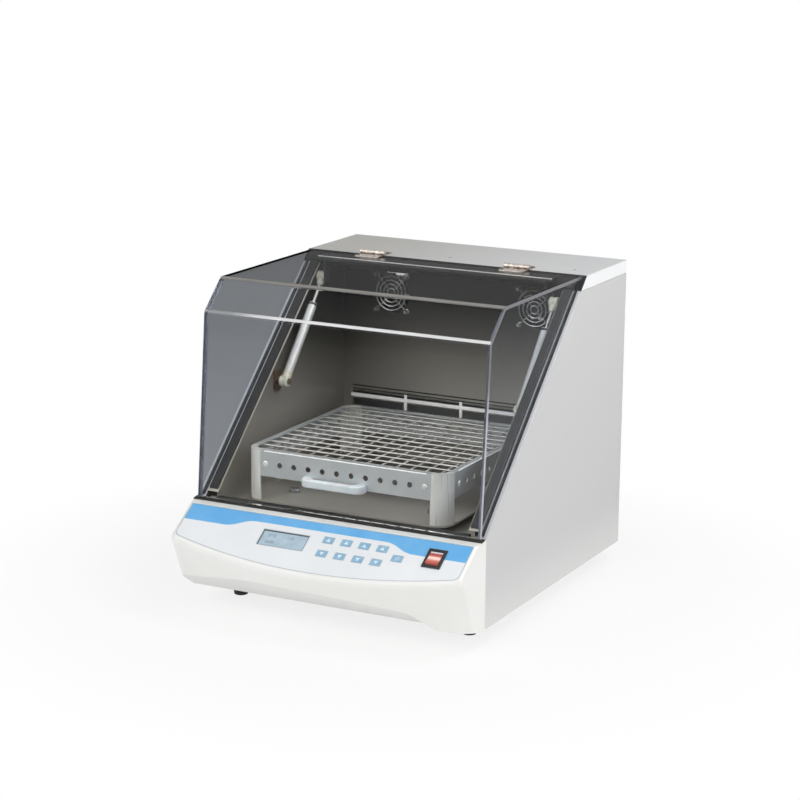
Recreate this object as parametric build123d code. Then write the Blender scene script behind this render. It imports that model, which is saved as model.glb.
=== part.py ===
from build123d import *
import os
from math import atan2, cos, degrees, hypot, radians, sin, tan

# Incubated benchtop shaker. Millimetres, +Z up, +X to the user's right, +Y to the back.
# Everything is modelled in the cabinet frame (Y = 0 at the front edge of the side panels,
# Z = 0 at their bottom edge) and written out about the middle of the footprint.

# Cabinet
width = 450.0
depth = 470.0
height = 430.0
front_height = 125.0          # side panel height at its front edge
slope_top_y = 321.0           # where the sloping edge meets the top
sheet = 1.5                   # folded sheet steel
return_flange = 13.0          # inward flange round each side panel
cover_seam_z = 410.8          # seam between side panels and top cover
seam = 0.5
foot_x, foot_front_y, foot_rear_y = 181.0, 45.0, 425.0
foot_radius, foot_drop = 12.0, 25.0

# Chamber
chamber_half_width = 200.0
chamber_front_y = 16.0
chamber_back_y = 386.0
chamber_floor_z = 110.0
chamber_ceiling_z = 407.0
liner_sheet = 1.0
fan_x, fan_z, fan_size, fan_depth = 117.0, 360.0, 60.0, 15.0
fan_hole_radius, fan_screw_pitch, guard_stand_off = 28.5, 50.0, 7.0
vent_half_width, vent_tie = 186.0, 6.0
vent_rows = ((181.0, 193.0), (200.5, 205.0))

# Lid: clear sheet bent over the front, with two glued side panes
lid_half_width = 219.0
lid_sheet = 5.0
lid_outline = ((-9.4, 100.0), (14.5, 388.0), (59.0, 430.0), (330.0, 430.0))
lid_bend_radius = 10.0
lid_lift = 2.1                # lid edges above the sloping flange
lid_foot_z = 127.5
strip_front_y, strip_half_width, strip_thick = 283.0, 188.0, 6.0

# Hinges
hinge_y, hinge_z = 320.0, 434.0
hinge_x, hinge_width = 116.5, 40.0
knuckles, knuckle_radius, pin_radius = 5, 3.5, 1.5
leaf_reach, leaf_thick = 23.0, 1.4
running_gap = 0.05

# Gas struts
strut_x = 186.0
strut_foot = (181.0, 259.0)
strut_head = (292.5, 392.5)
strut_tube_radius, strut_tube_wall, strut_rod_radius = 6.5, 0.8, 2.0
strut_tube_end, strut_rod_length = 130.0, 92.0
stud_radius, socket_radius, socket_width = 3.0, 7.0, 12.0

# Console
ledge_depth, ledge_drop = 22.0, 3.4
console_top_z = 125.4
face_tilt = 34.0
front_lean = 24.0             # the front face leans back below the shoulder
shoulder_y, shoulder_z = -102.5, 72.8
bow_rise, bow_half_chord = 28.5, 208.0
console_wall = 3.0
console_corner_radius, shoulder_radius = 12.0, 9.0
underside_start_y = -12.0      # in front of this line the underside rises towards the face
underside_rise = ((-232, 66), (-180, 61), (-90, 60.5), (-16, 56.5), (60, 55), (120, 54), (146, 53.6),
                  (155, 51), (164, 44), (172, 36), (178, 27), (183, 20.5), (189, 16.5), (200, 17),
                  (213, 18.5), (222, 22), (232, 34))     # X, and the rise per 100 mm forward
overlay_half_width, overlay_side_drop, overlay_mid_drop = 218.0, 58.5, 87.5
overlay_depth, overlay_thick = 1.0, 0.8
display_x, display_v, display_w, display_h = -54.0, 39.5, 71.0, 27.0
key_x0, key_pitch, key_up_v, key_down_v = 11.5, 27.4, 28.2, 51.9
run_key_x, run_key_v = 120.8, 40.3
key_w, key_h, key_thick = 14.5, 10.0, 1.2
switch_x, switch_v, switch_w, switch_h = 172.5, 31.0, 27.0, 32.0
switch_body_w, switch_body_h = 22.0, 28.0
switch_well_w, switch_well_h, rocker_pivot_w = 19.0, 24.0, -1.5
board_x, board_v, board_w, board_h, board_drop = 30.0, 38.0, 230.0, 62.0, 22.0

# Orbital drive
orbit = 10.0                  # crank throw; the tray rests at the -X end of its circle
drive_y = 189.0
shaft_radius, crank_pin_radius = 10.0, 6.0
pulley_radius, motor_pulley_radius = 60.0, 15.0
pulley_low_z, pulley_high_z = 58.0, 72.0
motor_offset_y = 150.0
motor_radius, motor_height = 38.0, 50.0
idler_circle, idler_shaft_radius, idler_pin_radius = 125.0, 6.0, 5.0
idler_angles = (30.0, 150.0, 270.0)
carrier_low_z, carrier_high_z = 80.0, 86.0
post_x, post_y, post_radius = 110.0, 95.0, 8.0
post_hole_radius = 20.0
base_top_z = 3.1
inlet_x, inlet_z = 150.0, 60.0

# Tray
tray_x, tray_y = 316.0, 304.0
tray_low_z, tray_height = 119.5, 74.5
tray_plate, tray_corner, tray_leg = 2.5, 24.0, 25.0
band_height, band_sheet, rim_width = 37.0, 1.5, 9.0
band_hole_radius, band_hole_drop, rod_pitch = 4.0, 19.0, 22.6
tray_rod_radius = 2.5
post_wall = 3.0
handle_reach, handle_thick, handle_rise, handle_shift = 18.0, 9.0, 3.0, -13.0

slope = atan2(height - front_height, slope_top_y)
slope_plane = Plane(origin=(0, 0, front_height), x_dir=(1, 0, 0), z_dir=(0, -sin(slope), cos(slope)))
tilt = radians(face_tilt)
face_plane = Plane(origin=(0, -ledge_depth, console_top_z - ledge_drop), x_dir=(1, 0, 0),
                   z_dir=(0, -sin(tilt), cos(tilt)))
half = width / 2
bottom_align = (Align.CENTER, Align.CENTER, Align.MIN)


def slope_y(z):
    return (z - front_height) / tan(slope)


def slope_z(y):
    return front_height + y * tan(slope)


def block(x0, x1, y0, y1, z0, z1):
    middle = Pos((x0 + x1) / 2, (y0 + y1) / 2, (z0 + z1) / 2)
    return middle * Box(x1 - x0, y1 - y0, z1 - z0)


def outline(points):
    return make_face(Polyline(*points, close=True))


def side_prism(face, x0, x1):
    """Extrude a face drawn in (Y, Z) from X = x0 to X = x1."""
    return extrude(Plane.YZ.offset(x0) * face, amount=x1 - x0)


def upright(x, y, z0, z1, radius):
    return Pos(x, y, z0) * Cylinder(radius, z1 - z0, align=bottom_align)


def crosswise(x0, x1, y, z, radius):
    """A cylinder along X."""
    return Plane(origin=(x0, y, z), z_dir=(1, 0, 0)) * Cylinder(radius, x1 - x0, align=bottom_align)


def endwise(x, y0, y1, z, radius):
    """A cylinder along Y."""
    return Plane(origin=(x, y0, z), z_dir=(0, 1, 0)) * Cylinder(radius, y1 - y0, align=bottom_align)


def mirrored(shape):
    return mirror(shape, about=Plane.YZ)


def both_sides(shape):
    return Compound([shape, mirrored(shape)])


# ---------------------------------------------------------------- cabinet

def side_panel():
    """Right-hand folded panel: a web with a return flange all round."""
    seam_z = cover_seam_z - seam / 2
    rear = depth - sheet - 0.1
    face = outline([(0, 0), (0, front_height), (slope_y(seam_z), seam_z), (rear, seam_z), (rear, 0)])
    face = fillet(face.vertices().sort_by(lambda v: v.X + v.Y)[0], 6)
    outer = side_prism(face, half - return_flange, half)
    outer = fillet(outer.faces().sort_by(Axis.X)[-1].edges(), 1.2)
    return outer - side_prism(offset(face, -sheet), half - return_flange, half - sheet)


def top_cover():
    """Cover folded down at both sides, the back and along the top of the slope."""
    low = cover_seam_z + seam / 2
    face = outline([(slope_y(low), low), (slope_top_y, height), (depth, height), (depth, low)])
    outer = side_prism(face, -half, half)
    top_edges = outer.faces().sort_by(Axis.Z)[-1].edges()
    outer = fillet(top_edges.filter_by(Axis.Y) + [top_edges.sort_by(Axis.Y)[-1]], 1.2)
    inside = side_prism(offset(face, -sheet), sheet - half, half - sheet)
    return outer - inside - Pos(0, 0, -sheet - 0.5) * inside


def back_panel():
    low, high = 0.5, cover_seam_z - seam
    panel = block(-half + 0.3, half - 0.3, depth - sheet, depth, low, high)
    for x in (-110.0, 110.0):
        for row in range(8):
            z = 250.0 + 13.0 * row
            panel -= block(x - 38, x + 38, depth - 5, depth + 5, z - 2, z + 2)
    panel -= block(inlet_x - 14.2, inlet_x + 14.2, depth - 5, depth + 5, inlet_z - 10.2, inlet_z + 10.2)
    return panel


def base_pan():
    """Floor with an upturned front that closes the cabinet behind the console."""
    wide = half - sheet - 0.3
    rear = depth - sheet - 2
    low = base_top_z - sheet
    front = sheet + 0.2
    bend = 5.0
    section = outline([(front, low), (front, 119.5), (rear, 119.5), (rear, low)])
    section = fillet(section.vertices().sort_by(lambda v: v.X + v.Y)[0], bend)
    pan = side_prism(section, -wide, wide) - side_prism(offset(section, -sheet), -wide, wide)
    pan -= block(-wide - 1, wide + 1, front + bend + 1, rear + 1, 22, 130)
    pan -= block(-wide - 1, wide + 1, front - 1, rear + 1, 118, 130)
    for x in (-150.0, 0.0, 170.0):
        pan -= endwise(x, -1, 8, 85, 11)
    for x in (-90.0, 90.0):
        for step in range(6):
            pan -= block(x - 30, x + 30, 60 + 12 * step, 64 + 12 * step, low - 1, base_top_z + 1)
    return pan


def rubber_feet():
    feet = []
    for x in (-foot_x, foot_x):
        for y in (foot_front_y, foot_rear_y):
            top = base_top_z - sheet
            body = Pos(x, y, -foot_drop) * Cone(foot_radius - 2, foot_radius, foot_drop + top,
                                                align=bottom_align)
            feet.append(fillet(body.faces().sort_by(Axis.Z)[0].edges(), 1.5))
    return Compound(feet)


def liner_sides():
    start = slope_y(chamber_ceiling_z + 4)
    face = outline([(chamber_front_y, chamber_floor_z),
                    (chamber_front_y, slope_z(chamber_front_y) - 4),
                    (start, chamber_ceiling_z),
                    (chamber_back_y, chamber_ceiling_z),
                    (chamber_back_y, chamber_floor_z)])
    right = side_prism(face, chamber_half_width, chamber_half_width + liner_sheet)
    return [right, mirrored(right)]


def liner_back():
    wide = chamber_half_width + liner_sheet
    wall = block(-wide, wide, chamber_back_y + 0.05, chamber_back_y + 0.05 + liner_sheet,
                 chamber_floor_z, chamber_ceiling_z + liner_sheet)
    bay = 2 * vent_half_width / 4
    for low, high in vent_rows:
        for index in range(4):
            x = -vent_half_width + bay * index
            wall -= block(x + vent_tie / 2, x + bay - vent_tie / 2, chamber_back_y - 5,
                          chamber_back_y + 5, low, high)
    for x in (-fan_x, fan_x):
        wall -= endwise(x, chamber_back_y - 5, chamber_back_y + 5, fan_z, fan_hole_radius)
    return wall


def chamber_liner():
    start = slope_y(chamber_ceiling_z + 4)
    wide = chamber_half_width + liner_sheet
    ceiling = block(-wide, wide, start, chamber_back_y, chamber_ceiling_z + 0.05,
                    chamber_ceiling_z + liner_sheet)
    return Compound(liner_sides() + [liner_back(), ceiling])


def chamber_floor():
    wide = chamber_half_width - 0.1
    floor = block(-wide, wide, chamber_front_y + 0.1, chamber_back_y - 0.1,
                  chamber_floor_z - 1.2, chamber_floor_z)
    for x in (-post_x, post_x):
        for y in (-post_y, post_y):
            floor -= upright(x, drive_y + y, 100, 120, post_hole_radius)
    return floor


def on_slope(x0, x1, u0, u1, w0, w1):
    """A strip lying on the slope: u runs up the slope and w out of it."""
    middle = Pos((x0 + x1) / 2, (u0 + u1) / 2, (w0 + w1) / 2)
    return slope_plane * middle * Box(x1 - x0, u1 - u0, w1 - w0)


slope_length = hypot(slope_top_y, height - front_height)
cover_edge_u = (cover_seam_z + seam / 2 - front_height) / sin(slope)


def seal_frame():
    """Side strips that carry the seal, and the front sill."""
    strip = on_slope(195.0, half - return_flange - 0.2, 12, cover_edge_u - 1.5, -1.4, -0.2)
    sill = block(-211, 211, 0.8, chamber_front_y, 122.4, 123.8)
    sill += block(-199.5, 199.5, chamber_front_y - 1.2, chamber_front_y, chamber_floor_z, 122.4)
    return Compound([strip, mirrored(strip), sill])


def lid_gasket():
    """Soft seal round the opening and the thin strips that the lid edges rest on."""
    seal = on_slope(197, 210, 16, cover_edge_u - 1.5, -0.15, 2.6)
    rest = on_slope(213.5, 219.5, 5, cover_edge_u - 1.5, 0.05, 1.9)
    head = on_slope(-210, 210, cover_edge_u + 2, cover_edge_u + 14, 0.05, 2.6)
    sill_seal = block(-196, 196, 2.5, 14.5, 123.85, 126.6)
    ledge = Pos(0, 0, console_top_z) * Rot(degrees(atan2(ledge_drop, ledge_depth)), 0, 0)
    front_rest = ledge * block(-224, 224, -11, -1.5, 0.05, 1.7)
    return Compound([seal, mirrored(seal), rest, mirrored(rest), head, sill_seal, front_rest])


# ---------------------------------------------------------------- lid and hinges

def lid_faces():
    """The bent sheet and the side pane, both drawn in (Y, Z)."""
    front, bend, chamfer, rear = lid_outline
    region = outline([front, bend, chamfer, rear, (rear[0], front[1])])
    bends = [v for v in region.vertices() if abs(v.X - bend[0]) < 0.1 or abs(v.X - chamfer[0]) < 0.1]
    outer = fillet(bends, lid_bend_radius)
    inner = offset(outer, -lid_sheet, kind=Kind.INTERSECTION)
    lift = lid_lift / cos(slope)
    above = outline([(-30, lid_foot_z), ((lid_foot_z - front_height - lift) / tan(slope), lid_foot_z),
                     (slope_top_y - 2, slope_z(slope_top_y - 2) + lift),
                     (slope_top_y - 2, 500), (-30, 500)])
    return (outer - inner) & above, inner & above


def lid_shell():
    return side_prism(lid_faces()[0], -lid_half_width, lid_half_width)


def lid_side_panes():
    pane = side_prism(lid_faces()[1], lid_half_width - lid_sheet, lid_half_width)
    return both_sides(pane)


def lid_mounting_strip():
    """Bar under the back of the lid; its back edge is bevelled to clear the head seal."""
    top = height - lid_sheet - 0.05
    clear = 4.5 / cos(slope)
    low_rear = slope_y(top - strip_thick - clear)
    high_rear = slope_y(top - clear)
    bar = outline([(strip_front_y, top), (strip_front_y, top - strip_thick),
                   (low_rear, top - strip_thick), (high_rear, top)])
    return side_prism(bar, -strip_half_width, strip_half_width)


def knuckle_spans():
    step = hinge_width / knuckles
    return [(index * step - hinge_width / 2 + 0.15, (index + 1) * step - hinge_width / 2 - 0.15)
            for index in range(knuckles)]


def hinge_leaf(direction, parity):
    """One leaf of a butt hinge centred on X = 0; direction is +1 to the back, -1 to the front."""
    y_near, y_far = sorted((hinge_y + direction * 4.2, hinge_y + direction * leaf_reach))
    top = height + 0.05 + leaf_thick
    leaf = block(-hinge_width / 2, hinge_width / 2, y_near, y_far, height + 0.05, top)
    corners = leaf.edges().filter_by(Axis.Z).sort_by(Axis.Y)
    leaf = fillet(corners[-2:] if direction > 0 else corners[:2], 3)
    for x in (-12.0, 0.0, 12.0):
        leaf -= upright(x, hinge_y + direction * 15, height - 1, height + 3, 1.8)
    for index, (x0, x1) in enumerate(knuckle_spans()):
        if index % 2 == parity:
            y0, y1 = sorted((hinge_y, hinge_y + direction * 4.4))
            leaf += block(x0, x1, y0, y1, height + 0.05, top)
            leaf += crosswise(x0, x1, hinge_y, hinge_z, knuckle_radius)
    bore = pin_radius + (0 if direction > 0 else running_gap)
    return leaf - crosswise(-30, 30, hinge_y, hinge_z, bore)


def hinge_fixed_leaves():
    """The two cabinet leaves, with their pins as separate solids held in the outer knuckles."""
    leaf = hinge_leaf(1, 0)
    pin = crosswise(-hinge_width / 2 - 0.8, hinge_width / 2 + 0.8, hinge_y, hinge_z, pin_radius)
    return Compound([Pos(x, 0, 0) * piece for x in (-hinge_x, hinge_x) for piece in (leaf, pin)])


def hinge_moving_leaves():
    leaf = hinge_leaf(-1, 1)
    return Compound([Pos(x, 0, 0) * leaf for x in (-hinge_x, hinge_x)])


# ---------------------------------------------------------------- gas struts

strut_length = hypot(strut_head[0] - strut_foot[0], strut_head[1] - strut_foot[1])
strut_direction = (0, (strut_head[0] - strut_foot[0]) / strut_length,
                   (strut_head[1] - strut_foot[1]) / strut_length)
foot_plane = Plane(origin=(strut_x, *strut_foot), x_dir=(1, 0, 0), z_dir=strut_direction)


def along_strut(start, end, radius):
    return foot_plane * Pos(0, 0, start) * Cylinder(radius, end - start, align=bottom_align)


def socket_at(point, start, end):
    """An eye round a stud, with a neck along the strut."""
    x0, x1 = strut_x - socket_width / 2, strut_x + socket_width / 2
    eye = crosswise(x0, x1, *point, socket_radius) + along_strut(start, end, 4.5)
    return eye - crosswise(x0 - 5, x1 + 5, *point, stud_radius + running_gap)


def strut_cylinder():
    tube = along_strut(16, strut_tube_end, strut_tube_radius)
    tube -= along_strut(24, strut_tube_end + 1, strut_tube_radius - strut_tube_wall)
    return tube + socket_at(strut_foot, 2, 17)


def strut_rod():
    rod = along_strut(strut_length - strut_rod_length, strut_length - 12, strut_rod_radius)
    return rod + socket_at(strut_head, strut_length - 15, strut_length - 2)


def strut_bracket_lower():
    """Bracket on the chamber wall with the ball-stud post that carries the cylinder."""
    y, z = strut_foot
    wall = chamber_half_width - 0.1
    plate = block(wall - 2.5, wall, y - 9, y + 9, z - 16, z + 16)
    plate = fillet(plate.edges().filter_by(Axis.X), 5)
    stud = crosswise(strut_x - socket_width / 2 - 1.2, wall - 1, y, z, stud_radius)
    collar = crosswise(strut_x + socket_width / 2 + 0.6, wall - 1, y, z, 6)
    cap = crosswise(strut_x - socket_width / 2 - 2.4, strut_x - socket_width / 2 - 0.6, y, z, 4.6)
    return plate + collar + stud + cap


def strut_bracket_upper():
    """Angle bracket under the lid bar, with a stud pointing outwards."""
    y, z = strut_head
    inner = strut_x - socket_width / 2 - 3.2
    top = height - lid_sheet - strip_thick - 0.1
    plate = block(inner, inner + 2.4, y - 9, y + 5, z - 8, top)
    plate = fillet(plate.edges().filter_by(Axis.X).sort_by(Axis.Z)[:2], 5)
    foot = block(inner - 16, inner + 2.4, y - 9, y + 5, top - 2.4, top)
    stud = crosswise(inner + 1, strut_x + socket_width / 2 + 1.2, y, z, stud_radius)
    cap = crosswise(strut_x + socket_width / 2 + 0.6, strut_x + socket_width / 2 + 2.2, y, z, 4.4)
    return plate + foot + stud + cap


# ---------------------------------------------------------------- console

def console_block(inset):
    """The console's outer form, or with an inset the hollow inside it."""
    top = console_top_z - inset
    drop = inset / cos(tilt)
    far = 160.0
    side = outline([(1.0 * (inset > 0), inset), (1.0 * (inset > 0), top),
                    (-ledge_depth, console_top_z - ledge_drop - drop),
                    (-far, console_top_z - ledge_drop - drop - (far - ledge_depth) * tan(tilt)),
                    (-far, inset)])
    body = side_prism(side, -half + inset, half - inset)
    lean = tan(radians(front_lean))
    wide = half - inset
    front = shoulder_y + inset / cos(radians(front_lean))
    radius = (bow_half_chord ** 2 + bow_rise ** 2) / (2 * bow_rise)
    end_y = front + radius - (radius ** 2 - wide ** 2) ** 0.5
    plan = Polyline((-wide, end_y), (-wide, 70), (wide, 70), (wide, end_y))
    plan = make_face([*plan.edges(), ThreePointArc((wide, end_y), (0, front), (-wide, end_y))])
    plan = fillet(plan.vertices().sort_by(Axis.Y)[:2], console_corner_radius - inset)
    low = Plane(origin=(0, lean * shoulder_z, 0)) * plan
    prism = extrude(low, amount=140 / cos(radians(front_lean)), dir=(0, -lean, 1))
    return body & prism


def scoop(lift):
    """What is cut from under the console: it rises to the front, least under the right end."""
    start = Plane(origin=(0, underside_start_y, lift * 1.15), x_dir=(1, 0, 0), z_dir=(0, -1, 0))
    faces = []
    for share in (0, 1):
        points = [(x, rise * share) for x, rise in underside_rise]
        top = Line(points[0], points[-1]) if share == 0 else Spline(*points)
        (left, left_z), (right, right_z) = points[0], points[-1]
        rest = Polyline((right, right_z), (right, -60), (left, -60), (left, left_z))
        faces.append(start.offset(100 * share) * make_face([*top.edges(), *rest.edges()]))
    return loft(faces, ruled=True)


def on_face(x, v, w=0.0):
    """A place on the sloping control face, v down the face and w out of it."""
    return face_plane * Pos(x, -v, w)


def overlay_outline(grow):
    wide = overlay_half_width + grow
    side, middle = overlay_side_drop + grow, overlay_mid_drop + grow
    edge = Polyline((-wide, -side), (-wide, -0.8 + grow), (wide, -0.8 + grow), (wide, -side))
    face = make_face([*edge.edges(), ThreePointArc((wide, -side), (0, -middle), (-wide, -side))])
    return fillet(face.vertices().sort_by(Axis.Y)[:2], 10)


def key_places():
    rows = [(f"key_{name}_{way}", key_x0 + key_pitch * index, v)
            for way, v in (("up", key_up_v), ("down", key_down_v))
            for index, name in enumerate(("temperature", "speed", "hours", "minutes"))]
    return rows + [("key_run", run_key_x, run_key_v)]


def console_shell():
    shell = console_block(0)
    shoulder = [e for e in shell.edges() if e.center().Z > 60 and e.center().Y < -ledge_depth - 8]
    shell = fillet(shoulder, shoulder_radius)
    shell -= scoop(0)
    shell -= console_block(console_wall) - scoop(console_wall)
    recess = extrude(face_plane * overlay_outline(0.3), amount=-overlay_depth)
    shell -= recess
    shell -= on_face(display_x, display_v) * Box(display_w + 1, display_h + 1, 12)
    shell -= on_face(switch_x, switch_v) * Box(switch_body_w + 0.4, switch_body_h + 0.4, 12)
    for _, x, v in key_places():
        shell -= on_face(x, v, -overlay_depth - 0.4) * Box(key_w + 1, key_h + 1, 0.9)
    for dx in (-board_w / 2 + 6, board_w / 2 - 6):
        for dv in (-board_h / 2 + 6, board_h / 2 - 6):
            long = board_drop - console_wall - 0.5
            shell += on_face(board_x + dx, board_v + dv, -console_wall + 0.3 - long / 2) * Cylinder(4, long)
    return shell


def control_overlay():
    sheet_face = face_plane * Pos(0, 0, -overlay_depth) * overlay_outline(0)
    panel = extrude(sheet_face, amount=overlay_thick)
    panel -= on_face(display_x, display_v) * Box(display_w, display_h, 6)
    panel -= on_face(switch_x, switch_v) * Box(switch_body_w + 0.4, switch_body_h + 0.4, 6)
    for _, x, v in key_places():
        panel -= on_face(x, v) * Box(key_w + 0.4, key_h + 0.4, 6)
    return panel


def lcd_module():
    glass = on_face(display_x, display_v, -2.4) * Box(display_w - 0.4, display_h - 0.4, 3.6)
    board = on_face(display_x, display_v, -console_wall - 2.1) * Box(display_w + 9, display_h + 9, 4)
    return glass + board


def key_pad(x, v):
    cap = on_face(x, v, -key_thick / 2 + 0.2) * Box(key_w, key_h, key_thick)
    return fillet(cap.edges().filter_by(lambda e: abs(e.length - key_thick) < 0.01), 1.2)


def switch_housing():
    bezel = on_face(switch_x, switch_v, 0.95) * Box(switch_w, switch_h, 2.2)
    front = bezel.faces().sort_by(lambda f: f.center().dot(face_plane.z_dir))[-1]
    bezel = chamfer(front.edges(), 0.8)
    body = on_face(switch_x, switch_v, -12.6) * Box(switch_body_w, switch_body_h, 25)
    well = on_face(switch_x, switch_v, -3.0) * Box(switch_well_w, switch_well_h, 14)
    return bezel + body - well - rocker_pin(1.5 + running_gap, switch_well_w / 2 + 1.1)


def rocker_pin(radius, reach):
    centre = on_face(switch_x, switch_v, rocker_pivot_w)
    return centre * Rot(0, 90, 0) * Cylinder(radius, 2 * reach)


def rocker():
    """Rocker whose two halves meet at a shallow angle, on stub axles along X."""
    reach = switch_well_h / 2 - 0.6
    profile = outline([(-reach, -5.0), (1.2 - reach, 4.4), (0, 1.6), (reach - 0.8, 1.2),
                       (reach - 0.6, -5.0)])
    wide = switch_well_w - 0.8
    plane = Plane(origin=face_plane.origin, x_dir=face_plane.y_dir, z_dir=(1, 0, 0))
    body = extrude(plane * Pos(-switch_v, 0, switch_x - wide / 2) * profile, amount=wide)
    return body + rocker_pin(1.5, wide / 2 + 1.2)


# ---------------------------------------------------------------- air, heat and electronics

def fan_frame(x):
    y0 = chamber_back_y + liner_sheet + 0.1
    frame = block(x - fan_size / 2, x + fan_size / 2, y0, y0 + fan_depth, fan_z - fan_size / 2,
                  fan_z + fan_size / 2)
    frame = fillet(frame.edges().filter_by(Axis.Y), 4)
    frame -= endwise(x, y0 - 1, y0 + fan_depth + 1, fan_z, fan_hole_radius)
    motor = endwise(x, y0 + fan_depth - 4, y0 + fan_depth, fan_z, 13)
    for angle in (45, 165, 285):
        arm = Pos(x, y0 + fan_depth - 1.5, fan_z) * Rot(0, angle, 0) * Pos(20.2, 0, 0) * Box(18.5, 3, 4)
        motor += arm
    post = endwise(x, y0 + 4, y0 + fan_depth, fan_z, 2)
    return frame + motor + post


def fan_rotor(x):
    y0 = chamber_back_y + liner_sheet + 1.2
    hub = endwise(x, y0, y0 + 9.4, fan_z, 12)
    hub = fillet(hub.faces().sort_by(Axis.Y)[0].edges(), 2)
    for index in range(7):
        blade = Pos(18.6, 0, 0) * Rot(32, 0, 0) * Box(16.5, 1.2, 9)
        hub += Pos(x, y0 + 5.0, fan_z) * Rot(0, index * 360 / 7, 0) * blade
    return hub - endwise(x, y0 + 1.5, y0 + 12, fan_z, 2 + running_gap)


def fan_guard(x):
    """Finger guard: three rings on four arms that run out to the screws."""
    wire = 1.8
    reach = fan_screw_pitch / 2 * 2 ** 0.5
    flat = Circle(5)
    for radius in (12.0, 20.0, 28.0):
        flat += Circle(radius + wire / 2) - Circle(radius - wire / 2)
    for angle in (45, 135, 225, 315):
        flat += Rot(0, 0, angle) * Pos(reach / 2, 0) * Rectangle(reach, wire)
        flat += Rot(0, 0, angle) * Pos(reach, 0) * Circle(3.2)
    front = Plane(origin=(x, chamber_back_y - guard_stand_off, fan_z), z_dir=(0, 1, 0))
    guard = extrude(front * flat, amount=wire)
    for dx in (-fan_screw_pitch / 2, fan_screw_pitch / 2):
        for dz in (-fan_screw_pitch / 2, fan_screw_pitch / 2):
            guard += endwise(x + dx, chamber_back_y - guard_stand_off + 1, chamber_back_y - 0.05,
                             fan_z + dz, 2.6)
    return guard


def heater_element():
    """Serpentine tubular heater across the air space behind the chamber."""
    y, left, right, low, pitch = 428.0, -130.0, 130.0, 225.0, 30.0
    points = [(left - 30, y, low)]
    for row in range(4):
        z = low + pitch * row
        ends = (right, left) if row % 2 == 0 else (left, right)
        points += [(ends[0], y, z), (ends[0], y, z + pitch)] if row < 3 else [(left - 30, y, z)]
    path = FilletPolyline(*points, radius=14.5)
    start = Plane(origin=path @ 0, z_dir=path % 0)
    heater = sweep(start * Circle(4), path=path)
    wall = chamber_back_y + liner_sheet + 0.1
    for x in (-80.0, 80.0):
        heater += block(x - 6, x + 6, y - 5, y - 3, low - 12, low + 3 * pitch + 12)
        for z in (low - 12, low + 3 * pitch + 9):
            heater += block(x - 6, x + 6, wall, y - 3, z, z + 3)
    return heater


def temperature_probe():
    """Slim probe in a pale clip on the back wall beside the left fan."""
    x, z, y = -102.0, 391.5, chamber_back_y
    clip = fillet(block(x - 6, x + 6, y - 7, y - 0.05, z - 4, z + 4).edges().filter_by(Axis.Y), 1.5)
    return clip + crosswise(x - 22, x + 12, y - 4, z, 1.8)


def control_board():
    """Circuit board on the console's bosses, with a chip, coils and a connector row."""
    board = on_face(board_x, board_v, -board_drop) * Box(board_w, board_h, 1.6)
    for x, v, radius, tall in ((45, 28, 7, 12), (75, 28, 7, 12), (95, 50, 5, 9)):
        board += on_face(x, v, -board_drop - tall / 2) * Cylinder(radius, tall)
    board += on_face(-30, 40, -board_drop - 1.8) * Box(24, 24, 2.4)
    return board + on_face(20, board_v + board_h / 2 - 6, -board_drop - 5) * Box(60, 8, 9)


def power_supply():
    case = block(60, 190, 392, 455, base_top_z + 0.05, 42)
    for index in range(8):
        x = 74 + 14 * index
        case -= block(x, x + 5, 404, 443, 38, 45)
    return case


def power_inlet():
    """Panel inlet with a keyed socket and three blades."""
    face_y = depth + 0.05
    flange = block(inlet_x - 25, inlet_x + 25, face_y, face_y + 2.2, inlet_z - 11.5, inlet_z + 11.5)
    flange = fillet(flange.edges().filter_by(Axis.Y), 4)
    body = block(inlet_x - 13.9, inlet_x + 13.9, face_y - 20, face_y + 0.5, inlet_z - 9.9, inlet_z + 9.9)
    socket = block(inlet_x - 12, inlet_x + 12, face_y - 16, face_y + 5, inlet_z - 8, inlet_z + 8)
    socket = chamfer(socket.edges().filter_by(Axis.Y).sort_by(Axis.Z)[-2:], 4.5)
    inlet = flange + body - socket
    for x, z in ((-7, -2), (7, -2), (0, 2)):
        inlet += block(inlet_x + x - 1, inlet_x + x + 1, face_y - 17, face_y - 4,
                       inlet_z + z - 2.2, inlet_z + z + 2.2)
    for x in (-20, 20):
        inlet -= endwise(inlet_x + x, depth - 1, depth + 4, inlet_z, 1.7)
    return inlet


def cabinet_screws():
    """Pan-head screws on the back panel and the fan guards."""
    heads = []
    corner = fan_screw_pitch / 2
    for x in (-212.0, 0.0, 212.0):
        for z in (12.0, 215.0, 400.0):
            heads.append(endwise(x, depth + 0.03, depth + 1.9, z, 3.4))
    for x in (-fan_x, fan_x):
        for dx in (-1, 1):
            for dz in (-1, 1):
                front = chamber_back_y - guard_stand_off
                heads.append(endwise(x + dx * corner, front - 1.7, front - 0.03, fan_z + dz * corner, 2.6))
    return Compound(heads)


# ---------------------------------------------------------------- orbital drive

def idler_centres():
    return [(idler_circle * cos(radians(a)), drive_y + idler_circle * sin(radians(a))) for a in idler_angles]


def drive_frame():
    """Casting on the base pan: the main bearing boss, three idler bosses and ribs."""
    low, top = base_top_z + 0.05, 50.0
    frame = upright(0, drive_y, low, 9, 70) + upright(0, drive_y, low, top, 28)
    for x, y in idler_centres():
        angle = degrees(atan2(y - drive_y, x))
        rib = Pos(0, drive_y, 0) * Rot(0, 0, angle) * block(0, idler_circle, -6, 6, low, 26)
        frame += rib + upright(x, y, low, top, 17)
    frame -= upright(0, drive_y, 12, top + 1, shaft_radius + running_gap)
    for x, y in idler_centres():
        frame -= upright(x, y, 12, top + 1, idler_shaft_radius + running_gap)
    return frame


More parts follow.
